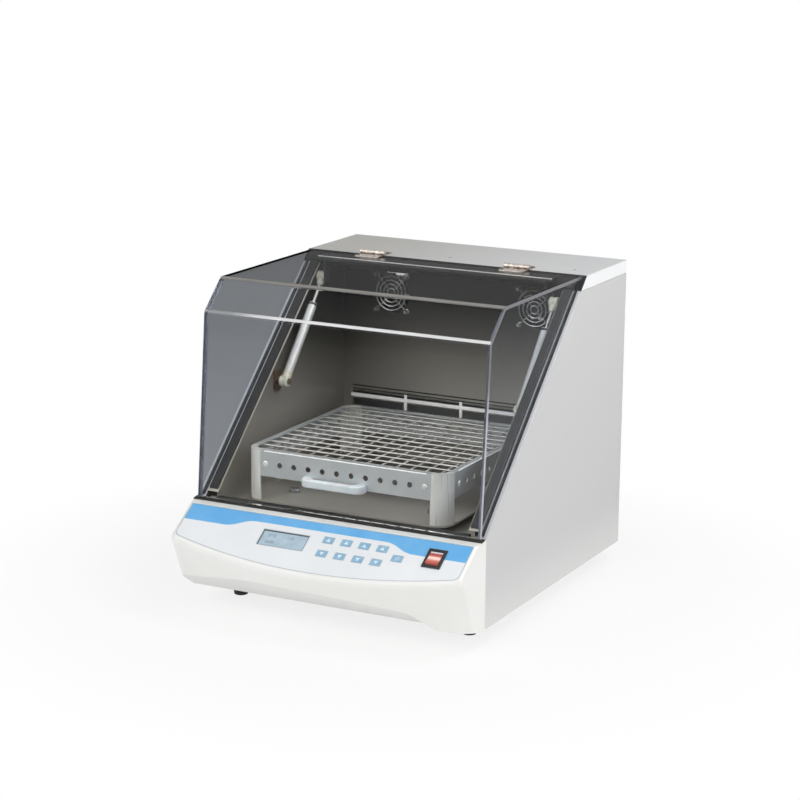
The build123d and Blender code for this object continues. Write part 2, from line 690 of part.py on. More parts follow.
def belt_groove(x, y, radius):
    low, high = pulley_low_z + 3, pulley_high_z - 3
    return upright(x, y, low, high, radius + 10) - upright(x, y, low, high, radius)


def drive_crank():
    """Belt pulley and crank in one casting: shaft below, offset pin above."""
    crank = upright(0, drive_y, 14, pulley_low_z + 1, shaft_radius)
    pulley = upright(0, drive_y, pulley_low_z, pulley_high_z, pulley_radius + 3)
    pulley -= belt_groove(0, drive_y, pulley_radius)
    crank += pulley + upright(0, drive_y, 50.4, pulley_low_z + 1, 16)
    for angle in range(60, 301, 60):
        crank -= Pos(0, drive_y, 0) * Rot(0, 0, angle) * Pos(38, 0, 65) * Cylinder(12, 40)
    return crank + upright(-orbit, drive_y, pulley_high_z - 1, carrier_high_z - 0.4, crank_pin_radius)


def idler_crank(x, y):
    idler = upright(x, y, 14, 56, idler_shaft_radius) + upright(x, y, 50.4, 60, 22)
    return idler + upright(x - orbit, y, 59, carrier_high_z - 0.4, idler_pin_radius)


def motor_body():
    y = drive_y + motor_offset_y
    low = base_top_z + 0.05
    body = upright(0, y, low + 3, low + motor_height, motor_radius)
    body = fillet(body.faces().sort_by(Axis.Z)[-1].edges(), 4)
    body += fillet(block(-44, 44, y - 44, y + 44, low, low + 4).edges().filter_by(Axis.Z), 8)
    return body - upright(0, y, low + 20, low + motor_height + 2, 4 + running_gap)


def motor_pulley():
    y = drive_y + motor_offset_y
    pulley = upright(0, y, pulley_low_z, pulley_high_z, motor_pulley_radius + 3)
    return pulley - belt_groove(0, y, motor_pulley_radius) + upright(0, y, base_top_z + 22, pulley_high_z, 4)


def drive_belt():
    """Flat belt round both pulleys, following their outer tangents."""
    gap, thick, span = 0.3, 1.6, motor_offset_y

    def loop(extra):
        big, small = pulley_radius + extra, motor_pulley_radius + extra
        lean = (big - small) / span
        rise = (1 - lean ** 2) ** 0.5
        hull = outline([(big * rise, big * lean), (small * rise, span + small * lean),
                        (-small * rise, span + small * lean), (-big * rise, big * lean)])
        return hull + Circle(big) + Pos(0, span, 0) * Circle(small)
    belt = loop(gap + thick) - loop(gap)
    return extrude(Pos(0, drive_y, pulley_low_z + 3.4) * belt, amount=pulley_high_z - pulley_low_z - 6.8)


def platform_carrier():
    """Plate on the crank pins, with four posts that rise through the chamber floor."""
    plate = block(-135 - orbit, 135 - orbit, drive_y - 137, drive_y + 110, carrier_low_z, carrier_high_z)
    plate = fillet(plate.edges().filter_by(Axis.Z), 20)
    plate += upright(-orbit, drive_y, carrier_low_z - 5, carrier_low_z + 1, 14)
    plate -= upright(-orbit, drive_y, 70, 100, crank_pin_radius + running_gap)
    for x, y in idler_centres():
        plate += upright(x - orbit, y, carrier_low_z - 6, carrier_low_z + 1, 10)
        plate -= upright(x - orbit, y, 60, 100, idler_pin_radius + running_gap)
    for sx in (-1, 1):
        plate -= upright(sx * 75 - orbit, drive_y - 20, 70, 100, 24)
        for sy in (-1, 1):
            plate += upright(sx * post_x - orbit, drive_y + sy * post_y, carrier_high_z - 1,
                             tray_low_z - 0.05, post_radius)
    return plate


# ---------------------------------------------------------------- tray

tray_top = tray_low_z + tray_height


def tray_base():
    plate = Pos(-orbit, drive_y, tray_low_z + tray_plate / 2) * Box(tray_x, tray_y, tray_plate)
    plate = fillet(plate.edges().filter_by(Axis.Z), tray_corner)
    for sx in (-1, 1):
        for sy in (-1, 1):
            plate -= upright(sx * post_x - orbit, drive_y + sy * post_y, 110, 130, 3.3)
    return plate


def tray_corner_posts():
    """Quarter-round corner posts, full height, with a capped top."""
    low = tray_low_z + tray_plate + 0.05
    solid = RectangleRounded(tray_x, tray_y, tray_corner)
    ring = solid - offset(solid, -post_wall)
    cap = solid - offset(solid, -rim_width)
    posts = []
    for sx in (-1, 1):
        for sy in (-1, 1):
            corner = Rectangle(tray_leg, tray_leg)
            corner = Pos(sx * (tray_x - tray_leg) / 2, sy * (tray_y - tray_leg) / 2) * corner
            post = extrude(Pos(-orbit, drive_y, low) * (ring & corner), amount=tray_top - low)
            post += extrude(Pos(-orbit, drive_y, tray_top - 1.5) * (cap & corner), amount=1.5)
            posts.append(post)
    return Compound(posts)


def even_places(span):
    """Places at the rod pitch that fill a span, from its middle."""
    count = int(span / rod_pitch + 0.4)
    return [(index - (count - 1) / 2) * rod_pitch for index in range(count)]


def tray_band(length):
    """A straight band panel centred on X = 0, outer face at Y = 0, rim turned to +Y."""
    low = tray_top - band_height
    band = block(-length / 2, length / 2, 0, band_sheet, low, tray_top)
    band += block(-length / 2, length / 2, 0, rim_width, tray_top - band_sheet, tray_top)
    for x in even_places(length):
        band -= endwise(x, -1, 5, tray_top - band_hole_drop, band_hole_radius)
    return band


def tray_bands():
    gap = 0.1
    wide = tray_band(tray_x - 2 * tray_leg - gap)
    deep = tray_band(tray_y - 2 * tray_leg - gap)
    centre = Pos(-orbit, drive_y, 0)
    return Compound([centre * Rot(0, 0, 0) * Pos(0, -tray_y / 2, 0) * wide,
                     centre * Rot(0, 0, 180) * Pos(0, -tray_y / 2, 0) * wide,
                     centre * Rot(0, 0, 90) * Pos(0, -tray_x / 2, 0) * deep,
                     centre * Rot(0, 0, -90) * Pos(0, -tray_x / 2, 0) * deep])


def rod_reach(place, span_across, span_along):
    """Half length of a bar: to the band, or to the thicker corner post near the ends."""
    at_post = abs(place) + tray_rod_radius > span_across / 2 - tray_leg
    return span_along / 2 - (post_wall + 1.4 if at_post else band_sheet + 0.1)


def tray_rods():
    """Two layers of straight bars that hold flasks and tubes upright."""
    upper = tray_top - band_sheet - tray_rod_radius - 0.1
    lower = upper - 2 * tray_rod_radius - 0.1
    rods = []
    for place in even_places(tray_y - 2 * rim_width):
        reach = rod_reach(place, tray_y, tray_x)
        rods.append(crosswise(-orbit - reach, -orbit + reach, drive_y + place, lower, tray_rod_radius))
    for place in even_places(tray_x - 2 * rim_width):
        reach = rod_reach(place, tray_x, tray_y)
        rods.append(endwise(place - orbit, drive_y - reach, drive_y + reach, upper, tray_rod_radius))
    return Compound(rods)


def tray_handle():
    """Moulded pull with a rounded bar and two feet on the front band."""
    front = drive_y - tray_y / 2 - 0.05
    z = tray_top - band_height + handle_rise
    bar = fillet(block(-49, 49, -handle_reach, 0, -6, 6).edges().filter_by(Axis.Z).sort_by(Axis.Y)[:2], 14)
    bar -= fillet(block(-35, 35, handle_thick - handle_reach, 5, -10, 10).edges().filter_by(Axis.Z).sort_by(Axis.Y)[:2], 7)
    rims = [e for e in bar.edges() if e.center().Y < -0.5 and abs(abs(e.center().Z) - 6) < 0.1]
    bar = fillet(rims, 2.5)
    return Pos(handle_shift - orbit, front, z) * bar


def tray_screws():
    """Thumb screws through the tray plate into the posts."""
    screws = []
    for sx in (-1, 1):
        for sy in (-1, 1):
            x, y = sx * post_x - orbit, drive_y + sy * post_y
            top = tray_low_z + tray_plate + 0.05
            head = upright(x, y, top, top + 6, 8)
            screws.append(fillet(head.faces().sort_by(Axis.Z)[-1].edges(), 1))
    return Compound(screws)


# ---------------------------------------------------------------- assembly

def build_all():
    cylinder, rod = strut_cylinder(), strut_rod()
    pieces = {
        "base_pan": base_pan(), "side_panel_right": side_panel(), "side_panel_left": mirrored(side_panel()),
        "top_cover": top_cover(), "back_panel": back_panel(), "rubber_feet": rubber_feet(),
        "chamber_liner": chamber_liner(), "chamber_floor": chamber_floor(), "seal_frame": seal_frame(),
        "lid_gasket": lid_gasket(), "cabinet_screws": cabinet_screws(),
        "lid_shell": lid_shell(), "lid_side_panes": lid_side_panes(),
        "lid_mounting_strip": lid_mounting_strip(),
        "hinge_fixed_leaves": hinge_fixed_leaves(), "hinge_moving_leaves": hinge_moving_leaves(),
        "strut_brackets_lower": both_sides(strut_bracket_lower()),
        "strut_brackets_upper": both_sides(strut_bracket_upper()),
        "strut_cylinder_right": cylinder, "strut_cylinder_left": mirrored(cylinder),
        "strut_rod_right": rod, "strut_rod_left": mirrored(rod),
        "console_shell": console_shell(), "control_overlay": control_overlay(), "lcd_module": lcd_module(),
        "switch_housing": switch_housing(), "rocker": rocker(),
        "fan_frames": Compound([fan_frame(-fan_x), fan_frame(fan_x)]),
        "fan_guards": Compound([fan_guard(-fan_x), fan_guard(fan_x)]),
        "fan_rotor_left": fan_rotor(-fan_x), "fan_rotor_right": fan_rotor(fan_x),
        "heater_element": heater_element(), "temperature_probe": temperature_probe(),
        "control_board": control_board(), "power_supply": power_supply(), "power_inlet": power_inlet(),
        "drive_frame": drive_frame(), "drive_crank": drive_crank(), "motor_body": motor_body(),
        "motor_pulley": motor_pulley(), "drive_belt": drive_belt(), "platform_carrier": platform_carrier(),
        "tray_base": tray_base(), "tray_corner_posts": tray_corner_posts(), "tray_bands": tray_bands(),
        "tray_rods": tray_rods(), "tray_handle": tray_handle(), "tray_screws": tray_screws(),
    }
    for name, x, v in key_places():
        pieces[name] = key_pad(x, v)
    for index, (x, y) in enumerate(idler_centres(), start=1):
        pieces[f"idler_crank_{index}"] = idler_crank(x, y)
    return pieces


def main():
    os.makedirs("parts", exist_ok=True)
    pieces = build_all()
    front = pieces["console_shell"].bounding_box().min.Y
    rear = pieces["power_inlet"].bounding_box().max.Y
    middle_y = (front + rear) / 2
    for name, piece in pieces.items():
        export_step(Pos(0, -middle_y, foot_drop) * piece, f"parts/{name}.step")
    print("nodes", len(pieces), "cabinet frame is shifted by", round(-middle_y, 4), foot_drop)


main()
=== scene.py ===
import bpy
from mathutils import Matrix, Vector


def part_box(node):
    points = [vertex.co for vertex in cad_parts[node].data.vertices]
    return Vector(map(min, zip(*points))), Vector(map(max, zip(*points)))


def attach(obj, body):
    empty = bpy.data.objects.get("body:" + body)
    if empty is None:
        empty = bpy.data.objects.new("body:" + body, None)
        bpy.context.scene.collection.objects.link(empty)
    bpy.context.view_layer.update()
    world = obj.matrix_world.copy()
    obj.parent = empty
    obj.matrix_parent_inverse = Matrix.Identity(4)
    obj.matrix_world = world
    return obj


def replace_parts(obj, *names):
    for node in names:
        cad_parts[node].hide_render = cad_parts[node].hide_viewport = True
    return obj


bl_info = {
    "name": "Incubated Benchtop Shaker",
    "version": (1, 0, 0),
    "blender": (4, 5, 0),
    "location": "View3D > Sidebar > Shaker",
    "description": "Finishes, fine pieces and a photo studio for an incubated benchtop shaker",
    "category": "Object",
}

from math import cos, pi, radians, sin

import bmesh
import bpy
from bmesh.types import BMEdge, BMFace, BMVert
from bpy.props import FloatProperty, FloatVectorProperty, PointerProperty
from mathutils import Matrix, Vector

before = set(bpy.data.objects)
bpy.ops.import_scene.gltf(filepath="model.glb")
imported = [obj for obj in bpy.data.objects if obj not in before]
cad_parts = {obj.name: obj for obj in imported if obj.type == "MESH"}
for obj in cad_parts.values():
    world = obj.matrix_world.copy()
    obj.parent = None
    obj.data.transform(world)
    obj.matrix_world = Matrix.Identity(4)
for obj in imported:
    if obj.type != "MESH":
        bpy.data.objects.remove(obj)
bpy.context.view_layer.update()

# Pieces are modelled in millimetres in the cabinet's own axes: X from the middle, Y back from the
# side panels' front edge, Z up from their bottom edge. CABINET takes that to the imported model.
panel_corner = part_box("side_panel_right")[0]
CABINET = Matrix.Translation((0, panel_corner.y, panel_corner.z)) @ Matrix.Scale(0.001, 4)
COVER_TOP = 430.0
HINGE_OUT = 116.5
MERGE = 0.001

# The console's sloping face: X across, Y up the slope, Z out of it. The overlay lies just below it.
FACE = Matrix.Translation((0, -22, 122)) @ Matrix.Rotation(radians(34), 4, "X")
OVERLAY_TOP = -0.2

# Each key's place on that face: across from the middle, and down the slope from its top edge.
KEY_PLACES = {f"key_{name}_{way}": (11.5 + 27.4 * index, down)
              for way, down in (("up", 28.2), ("down", 51.9))
              for index, name in enumerate(("temperature", "speed", "hours", "minutes"))}
KEY_TOP = 0.19

# The pins of the left strut and, mirrored, of the right one, with the lid closed.
STRUT_FOOT = Vector((-186, 181, 259))
STRUT_HEAD = Vector((-186, 292.5, 392.5))

# Fans: their middles, and the ring that their guards' four screws stand on.
FAN_OUT, FAN_UP = 117, 360
FAN_SCREW_RING = 35.36


# ---------------------------------------------------------------- colours and materials

def linear(code):
    """Linear colour with full alpha from an sRGB hex value."""
    parts = [int(code[i:i + 2], 16) / 255 for i in (0, 2, 4)]
    return [p / 12.92 if p <= 0.04045 else ((p + 0.055) / 1.055) ** 2.4 for p in parts] + [1.0]


def add(tree, kind, sockets=None, **settings):
    """Add one node with its settings; sockets maps an input to a value or to another node's output."""
    node = tree.nodes.new(kind)
    for key, value in settings.items():
        setattr(node, key, value)
    for key, value in (sockets or {}).items():
        if isinstance(value, bpy.types.NodeSocket):
            tree.links.new(value, node.inputs[key])
        else:
            node.inputs[key].default_value = value
    return node


def empty_material(name):
    """The material of that name with an empty node tree, so that it can be built again."""
    material = bpy.data.materials.get(name) or bpy.data.materials.new(name)
    material.use_nodes = True
    material.node_tree.nodes.clear()
    return material, material.node_tree


def surface(name, tones, roughness, grain, relief=0.0, patches=(70, 70, 70), **shine):
    """A solid material: two close tones in soft patches, and a fine grain in its gloss and relief.

    tones are sRGB hex values or linear colours; grain and patches are sizes in millimetres along X,
    Y and Z; relief is the grain's depth in millimetres; shine holds further sockets of the shader."""
    material, tree = empty_material(name)
    tones = [linear(tone) if isinstance(tone, str) else tone for tone in tones]
    place = add(tree, "ShaderNodeTexCoord").outputs["Object"]
    fine, broad = (add(tree, "ShaderNodeTexNoise", {"Scale": 1.0, "Vector": add(
        tree, "ShaderNodeMapping", {"Vector": place, "Scale": [1000 / s for s in size]}).outputs[0]})
        for size in (grain, patches))
    soft = add(tree, "ShaderNodeMapRange", {"Value": broad.outputs[0], "From Min": 0.3, "From Max": 0.7})
    tone = add(tree, "ShaderNodeMix", {0: soft.outputs[0], 6: tones[0], 7: tones[1]}, data_type="RGBA")
    gloss = add(tree, "ShaderNodeMapRange", {"Value": fine.outputs[0], "From Min": 0.3, "From Max": 0.7,
                                             "To Min": roughness[0], "To Max": roughness[1]})
    sockets = {"Base Color": tone.outputs[2], "Roughness": gloss.outputs[0]}
    if relief:
        bump = add(tree, "ShaderNodeBump", {"Height": fine.outputs[0], "Strength": 1.0,
                                            "Distance": relief / 1000})
        sockets["Normal"] = bump.outputs[0]
    sockets.update({key.replace("_", " "): value for key, value in shine.items()})
    shader = add(tree, "ShaderNodeBsdfPrincipled", sockets)
    add(tree, "ShaderNodeOutputMaterial", {"Surface": shader.outputs[0]})
    return material


def graded(material, node, socket, axis, start, end, low=0.0, high=1.0):
    """Lead one socket from low to high between two places along an axis of the object, in metres."""
    tree = material.node_tree
    place = add(tree, "ShaderNodeSeparateXYZ", {0: add(tree, "ShaderNodeTexCoord").outputs["Object"]})
    level = add(tree, "ShaderNodeMapRange", {"Value": place.outputs[axis], "From Min": start,
                                             "From Max": end, "To Min": low, "To Max": high},
                interpolation_type="SMOOTHSTEP")
    tree.links.new(level.outputs[0], tree.nodes[node].inputs[socket])
    return material


def powder_coated_steel():
    # Baked powder coat: a satin film with a fine orange-peel skin, a shade lighter near the bench in
    # painted light.
    return graded(surface("powder-coated steel", ("DFDFDE", colours().panel), (0.34, 0.46),
                          (1.6, 1.6, 1.6), 0.02, (160, 160, 160)), "Mix", 0, "Z", 0.0, 0.11)


def satin_stainless():
    # Stainless sheet rubbed along X: soft grey mirror with fine streaks that run across the top,
    # a little duller and warmer at the left, a painted shade where less light falls.
    return graded(surface("satin stainless steel", ("E4E3DF", colours().cover), (0.3, 0.4),
                          (70, 1.2, 1.2), 0.003, (140, 60, 60), Metallic=0.35),
                  "Mix", 0, "X", -0.2, 0.2)


def brushed_liner_steel():
    # Stainless liner brushed upright: slightly warm, browner and darker towards the top, a painted
    # reflection of the shaded roof that the steel mirrors.
    return graded(surface("brushed liner steel", (colours().liner, "252320"), (0.3, 0.36),
                          (2.0, 2.0, 160), 0.0004, (90, 90, 160), Metallic=0.65),
                  "Mix", 0, "Z", 0.17, 0.4)


def bright_edge_steel():
    # Sheared and deburred edge of stainless strip: a thin bright line along the opening.
    return surface("bright edge steel", ("C9C6BA", "B5B2A6"), (0.3, 0.4),
                   (3, 3, 40), 0.0, Metallic=0.4)


def seal_rubber():
    # Extruded sponge seal: matt black with a slightly grainy skin.
    return surface("sponge seal rubber", ("1B1B1B", "262524"), (0.62, 0.8),
                   (1.2, 1.2, 1.2), 0.03)


def foot_rubber():
    # Moulded rubber: matt, near black, a little dusty where it is handled.
    return surface("moulded foot rubber", ("1A1A1A", "2A2A29"), (0.55, 0.75),
                   (2, 2, 2), 0.03, (14, 14, 14))


def acrylic(name, tint, smear, index):
    """Cast acrylic sheet: clear and smooth, with a faint waviness and wipe marks in its gloss."""
    material, tree = empty_material(name)
    place = add(tree, "ShaderNodeTexCoord").outputs["Object"]
    wiped, waved = (add(tree, "ShaderNodeTexNoise", {"Scale": 1.0, "Vector": add(
        tree, "ShaderNodeMapping", {"Vector": place, "Scale": [1000 / s for s in size]}).outputs[0]})
        for size in ((90, 90, 25), (120, 120, 120)))
    wipe = add(tree, "ShaderNodeMapRange", {"Value": wiped.outputs[0], "From Min": 0.45, "From Max": 0.75,
                                            "To Max": smear})
    wave = add(tree, "ShaderNodeBump", {"Height": waved.outputs[0], "Strength": 1.0, "Distance": 0.00006})
    shader = add(tree, "ShaderNodeBsdfPrincipled", {
        "Base Color": tint, "Roughness": wipe.outputs[0], "IOR": index, "Transmission Weight": 1.0,
        "Normal": wave.outputs[0]})
    # Lamps shine through the sheet, so the chamber is lit as it is behind a real cover.
    lit = add(tree, "ShaderNodeBsdfTransparent", {"Color": tint})
    both = add(tree, "ShaderNodeMixShader", {0: add(tree, "ShaderNodeLightPath").outputs["Is Shadow Ray"],
                                             1: shader.outputs[0], 2: lit.outputs[0]})
    add(tree, "ShaderNodeOutputMaterial", {"Surface": both.outputs[0]})
    return material


def sheet_edge_light():
    # Sawn and flame-polished edge of the sheet, with painted light: pale and milky up the front, greyer
    # along the top.
    return graded(surface("flame-polished acrylic edge light", ("C2C1CA", "707077"),
                          (0.12, 0.26), (1.2, 1.2, 12), 0.006, (30, 30, 30), Alpha=0.84),
                  "Mix", 0, "Z", 0.3, 0.37)


def glued_joint_edge_light():
    # Solvent-glued joint between sheet and side pane: lavender grey, painted light of the pane's edge, with
    # small cloudy patches.
    return surface("solvent-glued acrylic joint", ("8F9099", "A9AAB3"), (0.2, 0.36),
                   (2, 2, 6), 0.01, (5, 5, 9), Alpha=0.8)


def lower_bend_highlight():
    # Line-bent acrylic: the light band along the bend is a painted highlight, a milky film that fades out
    # towards the left.
    return graded(surface("line-bent acrylic", (colours().bend, "DEDEDF"), (0.08, 0.2),
                          (16, 2, 2), 0.006, (60, 9, 9)),
                  "Principled BSDF", "Alpha", "X", -0.19, -0.09, 0.1, 0.86)


def slot_shade():
    # Painted shade for the depth of the louvre slots: near black, a touch warmer where the steel turns in.
    return surface("slot shade", ("121211", "2A2826"), (0.6, 0.8), (2, 2, 2), 0.0,
                   (25, 2, 2))


def polished_edge_highlight():
    # Polished front edge of the bar, and of the vents' cover strip: a clean thin white line that is
    # partly a painted highlight, with a faint glow of painted light for the same reason as the band's edge
    # below.
    return surface("polished bar edge highlight", ("D9D9D8", "C4C4C2"), (0.2, 0.3), (9, 1, 1), 0.0,
                   (40, 40, 40), Emission_Color=linear("D9D9D6"), Emission_Strength=0.3)


def upper_bend_highlight():
    # Along the upper bend a fainter, browner band of painted highlight.
    return surface("upper line-bent acrylic", ("98958F", "85827E"), (0.1, 0.22), (16, 2, 2),
                   0.006, (60, 9, 9), Alpha=0.72)


def black_bar_paint():
    # Satin black stoved paint on the flat bar that carries the hinges and strut brackets.
    return surface("black stoved paint", ("181818", "232323"), (0.3, 0.42),
                   (1.5, 1.5, 1.5), 0.01)


def polished_chrome():
    # Chrome-plated hinge: a sharp mirror with fine wiping scratches across the knuckles.
    return surface("polished chrome", ("DAD3CC", "AFA398"), (0.2, 0.34),
                   (14, 0.8, 0.8), 0.0, (6, 6, 6), Metallic=0.85)


def drawn_strut_steel():
    # Drawn and plated tube: bright, with faint draw lines that stretch the highlight.
    return surface("drawn strut steel", ("CFCFCE", "C3C3C2"), (0.26, 0.36),
                   (0.8, 20, 20), 0.001, (30, 30, 30), Metallic=0.4)


def cream_nylon():
    # Moulded nylon end fitting: creamy, faintly waxy, with dull flow marks.
    return surface("cream nylon", ("CBC9B9", "B9B6A3"), (0.4, 0.55), (3, 3, 3), 0.02,
                   (9, 9, 9), Subsurface_Weight=0.08, Subsurface_Scale=0.002)


def passivated_bracket():
    # Yellow-passivated steel: bronze brown with lighter, more golden patches.
    return surface("passivated bracket steel", ("6A564A", "8D7A6C"), (0.28, 0.45),
                   (2, 2, 2), 0.01, (7, 7, 7), Metallic=0.9)


def console_abs():
    # Injection-moulded ABS: white, semi-gloss, with a barely visible spark-eroded skin.
    return surface("console ABS", (colours().console, "EEEEEB"), (0.3, 0.4), (0.9, 0.9, 0.9), 0.008,
                   (120, 120, 120), Coat_Weight=0.15, Coat_Roughness=0.2)


def overlay_film():
    # Back-printed polyester film: cool white, finely hard-coated, a little glossier than the moulding.
    return surface("overlay polyester film", (colours().overlay, "E9EDF0"), (0.26, 0.34),
                   (0.7, 0.7, 0.7), 0.004, (90, 90, 90), Coat_Weight=0.2, Coat_Roughness=0.15)


def film_edge_shade():
    # Cut edge of the film against the moulding, drawn as a line of painted shade: cool grey, a little
    # glossy, faintly uneven.
    return surface("film edge shade", ("BDC2CA", "A9B2BE"), (0.3, 0.4), (0.7, 0.7, 0.7), 0.0,
                   (16, 16, 16))


def blue_print():
    # Screen-printed ink seen through the film: flat mid blue with a slight unevenness of lay.
    return surface("blue screen print", (colours().band, "72BAEE"), (0.3, 0.38),
                   (0.7, 0.7, 0.7), 0.003, (40, 40, 40), Coat_Weight=0.2, Coat_Roughness=0.15)


def key_print():
    # Domed key under the film: greyer blue ink, laid a little unevenly.
    return surface("key print", (colours().key, "9AC6E0"), (0.3, 0.4), (0.8, 0.8, 0.8), 0.004,
                   (6, 6, 6))


def white_print():
    # White legend ink: clean, slightly raised, a touch glossier than the film.
    return surface("white legend ink", ("F2F6F8", "E6EEF2"), (0.3, 0.4), (0.8, 0.8, 0.8),
                   0.003, (10, 10, 10))


def display_glass():
    # Unlit liquid-crystal panel: pale grey-blue, smooth, a little darker in soft clouds.
    return surface("liquid crystal panel", (colours().display, "A5BBCA"), (0.12, 0.2),
                   (0.8, 0.8, 0.8), 0.0, (18, 18, 18), Coat_Weight=0.5, Coat_Roughness=0.05)


def display_ink():
    # Switched segments of the panel: soft blue-grey, never quite black.
    return surface("liquid crystal segments", ("5F7E8E", "6D8A99"), (0.2, 0.3),
                   (0.8, 0.8, 0.8), 0.0, (8, 8, 8))


def window_shade():
    # Edge of the display window, in painted shade: dark slate that reads as depth.
    return surface("window edge shade", ("3C474C", "525E63"), (0.35, 0.5), (1, 1, 1), 0.003,
                   (12, 12, 12))


def black_nylon():
    # Glass-filled nylon of the switch, fans and inlet: black, satin, with a dry grainy skin.
    return surface("black nylon", ("1E1D1D", "2B2A29"), (0.34, 0.5), (1, 1, 1), 0.012,
                   (10, 10, 10))


def red_rocker():
    # Ribbed red polycarbonate, lamp on: deep red at both ends, darkest near the upper end in painted shade,
    # and a pale pink band by the middle that is a painted highlight. Its faint glow is partly the lamp and
    # partly painted light.
    material, tree = empty_material("red polycarbonate")
    place = add(tree, "ShaderNodeTexCoord").outputs["Object"]
    low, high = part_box("rocker")
    # Steps of painted light and shade up the slope, in metres from the rocker's middle.
    slope = add(tree, "ShaderNodeVectorMath", {0: place, 1: (low + high) / 2}, operation="SUBTRACT")
    height = add(tree, "ShaderNodeVectorMath", {0: slope.outputs[0], 1: FACE.to_3x3().col[1]},
                 operation="DOT_PRODUCT")
    ripple = add(tree, "ShaderNodeTexNoise", {"Vector": place, "Scale": 700.0})
    wavy = add(tree, "ShaderNodeMath", {0: ripple.outputs[0], 1: 0.0022, 2: height.outputs["Value"]},
               operation="MULTIPLY_ADD")
    ramp = add(tree, "ShaderNodeValToRGB", {0: add(tree, "ShaderNodeMapRange", {
        "Value": wavy.outputs[0], "From Min": -0.0112, "From Max": 0.0134}).outputs[0]})
    stops = ramp.color_ramp.elements
    for position, code in ((0.0, "C9766A"), (0.2, "C25A50"), (0.36, "D98D80"), (0.44, "F3CBC0"),
                           (0.58, "F6D3CA"), (0.66, "C4665E"), (0.82, "8F2A26"), (1.0, "A8605A")):
        stops.new(position).color = linear(code)
    # A new ramp starts with a black and a white stop of its own.
    stops.remove(stops[0])
    stops.remove(stops[len(stops) - 1])
    shader = add(tree, "ShaderNodeBsdfPrincipled", {
        "Base Color": ramp.outputs[0], "Roughness": 0.2, "Coat Weight": 0.3,
        "Emission Color": ramp.outputs[0], "Emission Strength": 0.18})
    add(tree, "ShaderNodeOutputMaterial", {"Surface": shader.outputs[0]})
    return material


def guard_wire():
    # Nickel-plated spring wire: grey mirror, slightly smoky.
    return surface("nickel-plated wire", ("E6E4E0", "BDBBB7"), (0.16, 0.28), (1, 1, 8),
                   0.0, (5, 5, 5), Metallic=0.7)


def tray_aluminium():
    # Bead-blasted and clear-anodised sheet: satin silver with a fine sparkle.
    return surface("anodised tray aluminium", (colours().tray, "BCBFC0"), (0.3, 0.5),
                   (0.9, 0.9, 0.9), 0.012, (45, 45, 45), Metallic=0.6)


def post_aluminium():
    # Extruded corner section, linished upright: fine upright lines and long soft highlights.
    return surface("linished corner aluminium", ("EFEEE9", "D6D5D0"), (0.26, 0.36),
                   (1.6, 1.6, 80), 0.001, (30, 30, 90), Metallic=0.45)


def band_edge_highlight():
    # Edge of the band: a thin white line, a painted highlight, with small dull nicks. It glows a
    # little, because a highlight as narrow as this is lost between two pixels.
    return surface("band edge highlight", ("FAFAF9", "E4E5E5"), (0.2, 0.34), (3, 3, 1),
                   0.0, (9, 9, 9), Emission_Color=linear("F4F5F6"), Emission_Strength=0.25)


def bar_steel():
    # Straightened stainless bar: even light grey with a soft sheen in dull patches.
    return surface("straightened bar steel", ("D2D0CA", "C2BFB9"), (0.34, 0.44),
                   (9, 9, 9), 0.0, (45, 45, 45), Metallic=0.45)


def tray_plate_aluminium():
    # Rolled plate that lies in the shade of the bars: pale in front, brown at the back in painted shade.
    return graded(surface("rolled tray plate", ("ADA89F", "565048"), (0.28, 0.38),
                          (80, 1.5, 1.5), 0.002, (120, 40, 40), Metallic=0.4),
                  "Mix", 0, "Y", -0.1, -0.02)


def handle_polypropylene():
    # Natural polypropylene: milky, waxy and faintly see-through at thin edges.
    return surface("natural polypropylene", ("D3D8DC", "C4CACF"), (0.28, 0.4),
                   (2.5, 2.5, 2.5), 0.006, (16, 16, 16), Subsurface_Weight=0.35,
                   Subsurface_Scale=0.004)


def zinc_plated_steel():
    # Zinc-plated fasteners: cool grey, patchy between bright and frosty.
    return surface("zinc-plated steel", ("B9BBBC", "8F9192"), (0.22, 0.42), (1, 1, 1),
                   0.004, (3, 3, 3), Metallic=1.0)


def cast_frame_iron():
    # Sand-cast frame under grey machine enamel: lumpy skin, dull sheen.
    return surface("enamelled cast iron", ("6A6F73", "585D61"), (0.42, 0.6), (4, 4, 4),
                   0.15, (30, 30, 30))


def turned_steel():
    # Turned shafts, cranks and pulleys: bright grey with fine tool lines round the axis.
    return surface("turned steel", ("A9AAAB", "8C8E90"), (0.2, 0.34), (30, 30, 0.6),
                   0.004, (20, 20, 20), Metallic=1.0)


def motor_enamel():
    # Dipped motor enamel: black, thick at the edges, half gloss.
    return surface("motor enamel", ("1D1F21", "2A2D30"), (0.28, 0.45), (5, 5, 5), 0.04)


def belt_rubber():
    # Neoprene belt with a cloth face: black, dull, finely ribbed across.
    return surface("cloth-faced belt", ("202020", "2F2D2B"), (0.6, 0.8), (1, 1, 0.8), 0.05,
                   (12, 12, 12))


def carrier_aluminium():
    # Milled plate: silver with crossing cutter marks.
    return surface("milled carrier plate", ("B4B5B6", "9EA0A1"), (0.28, 0.42),
                   (18, 1.4, 1.4), 0.006, (35, 35, 35), Metallic=0.95)


def galvanised_sheet():
    # Hot-dip galvanised sheet: pale grey spangles a centimetre across.
    return surface("galvanised sheet", ("B7BABC", "9BA0A3"), (0.35, 0.5), (9, 9, 9), 0.006,
                   (11, 11, 11), Metallic=0.8)


def heater_sheath():
    # Heat-oxidised alloy tube: straw brown to grey, dry and dull.
    return surface("oxidised heater tube", ("6B5F53", "4B4643"), (0.42, 0.6), (2, 2, 2),
                   0.01, (24, 24, 24), Metallic=0.9)


def probe_plastic():
    # Moulded white clip: matt, faintly yellowed. Its glow stands for the lamp that it catches in the
    # photograph, deep in the shaded chamber.
    return surface("white clip plastic", ("F6F6F3", "ECEBE5"), (0.4, 0.55), (1.5, 1.5, 1.5),
                   0.008, (6, 6, 6), Emission_Color=linear("F6F6F3"), Emission_Strength=0.7)


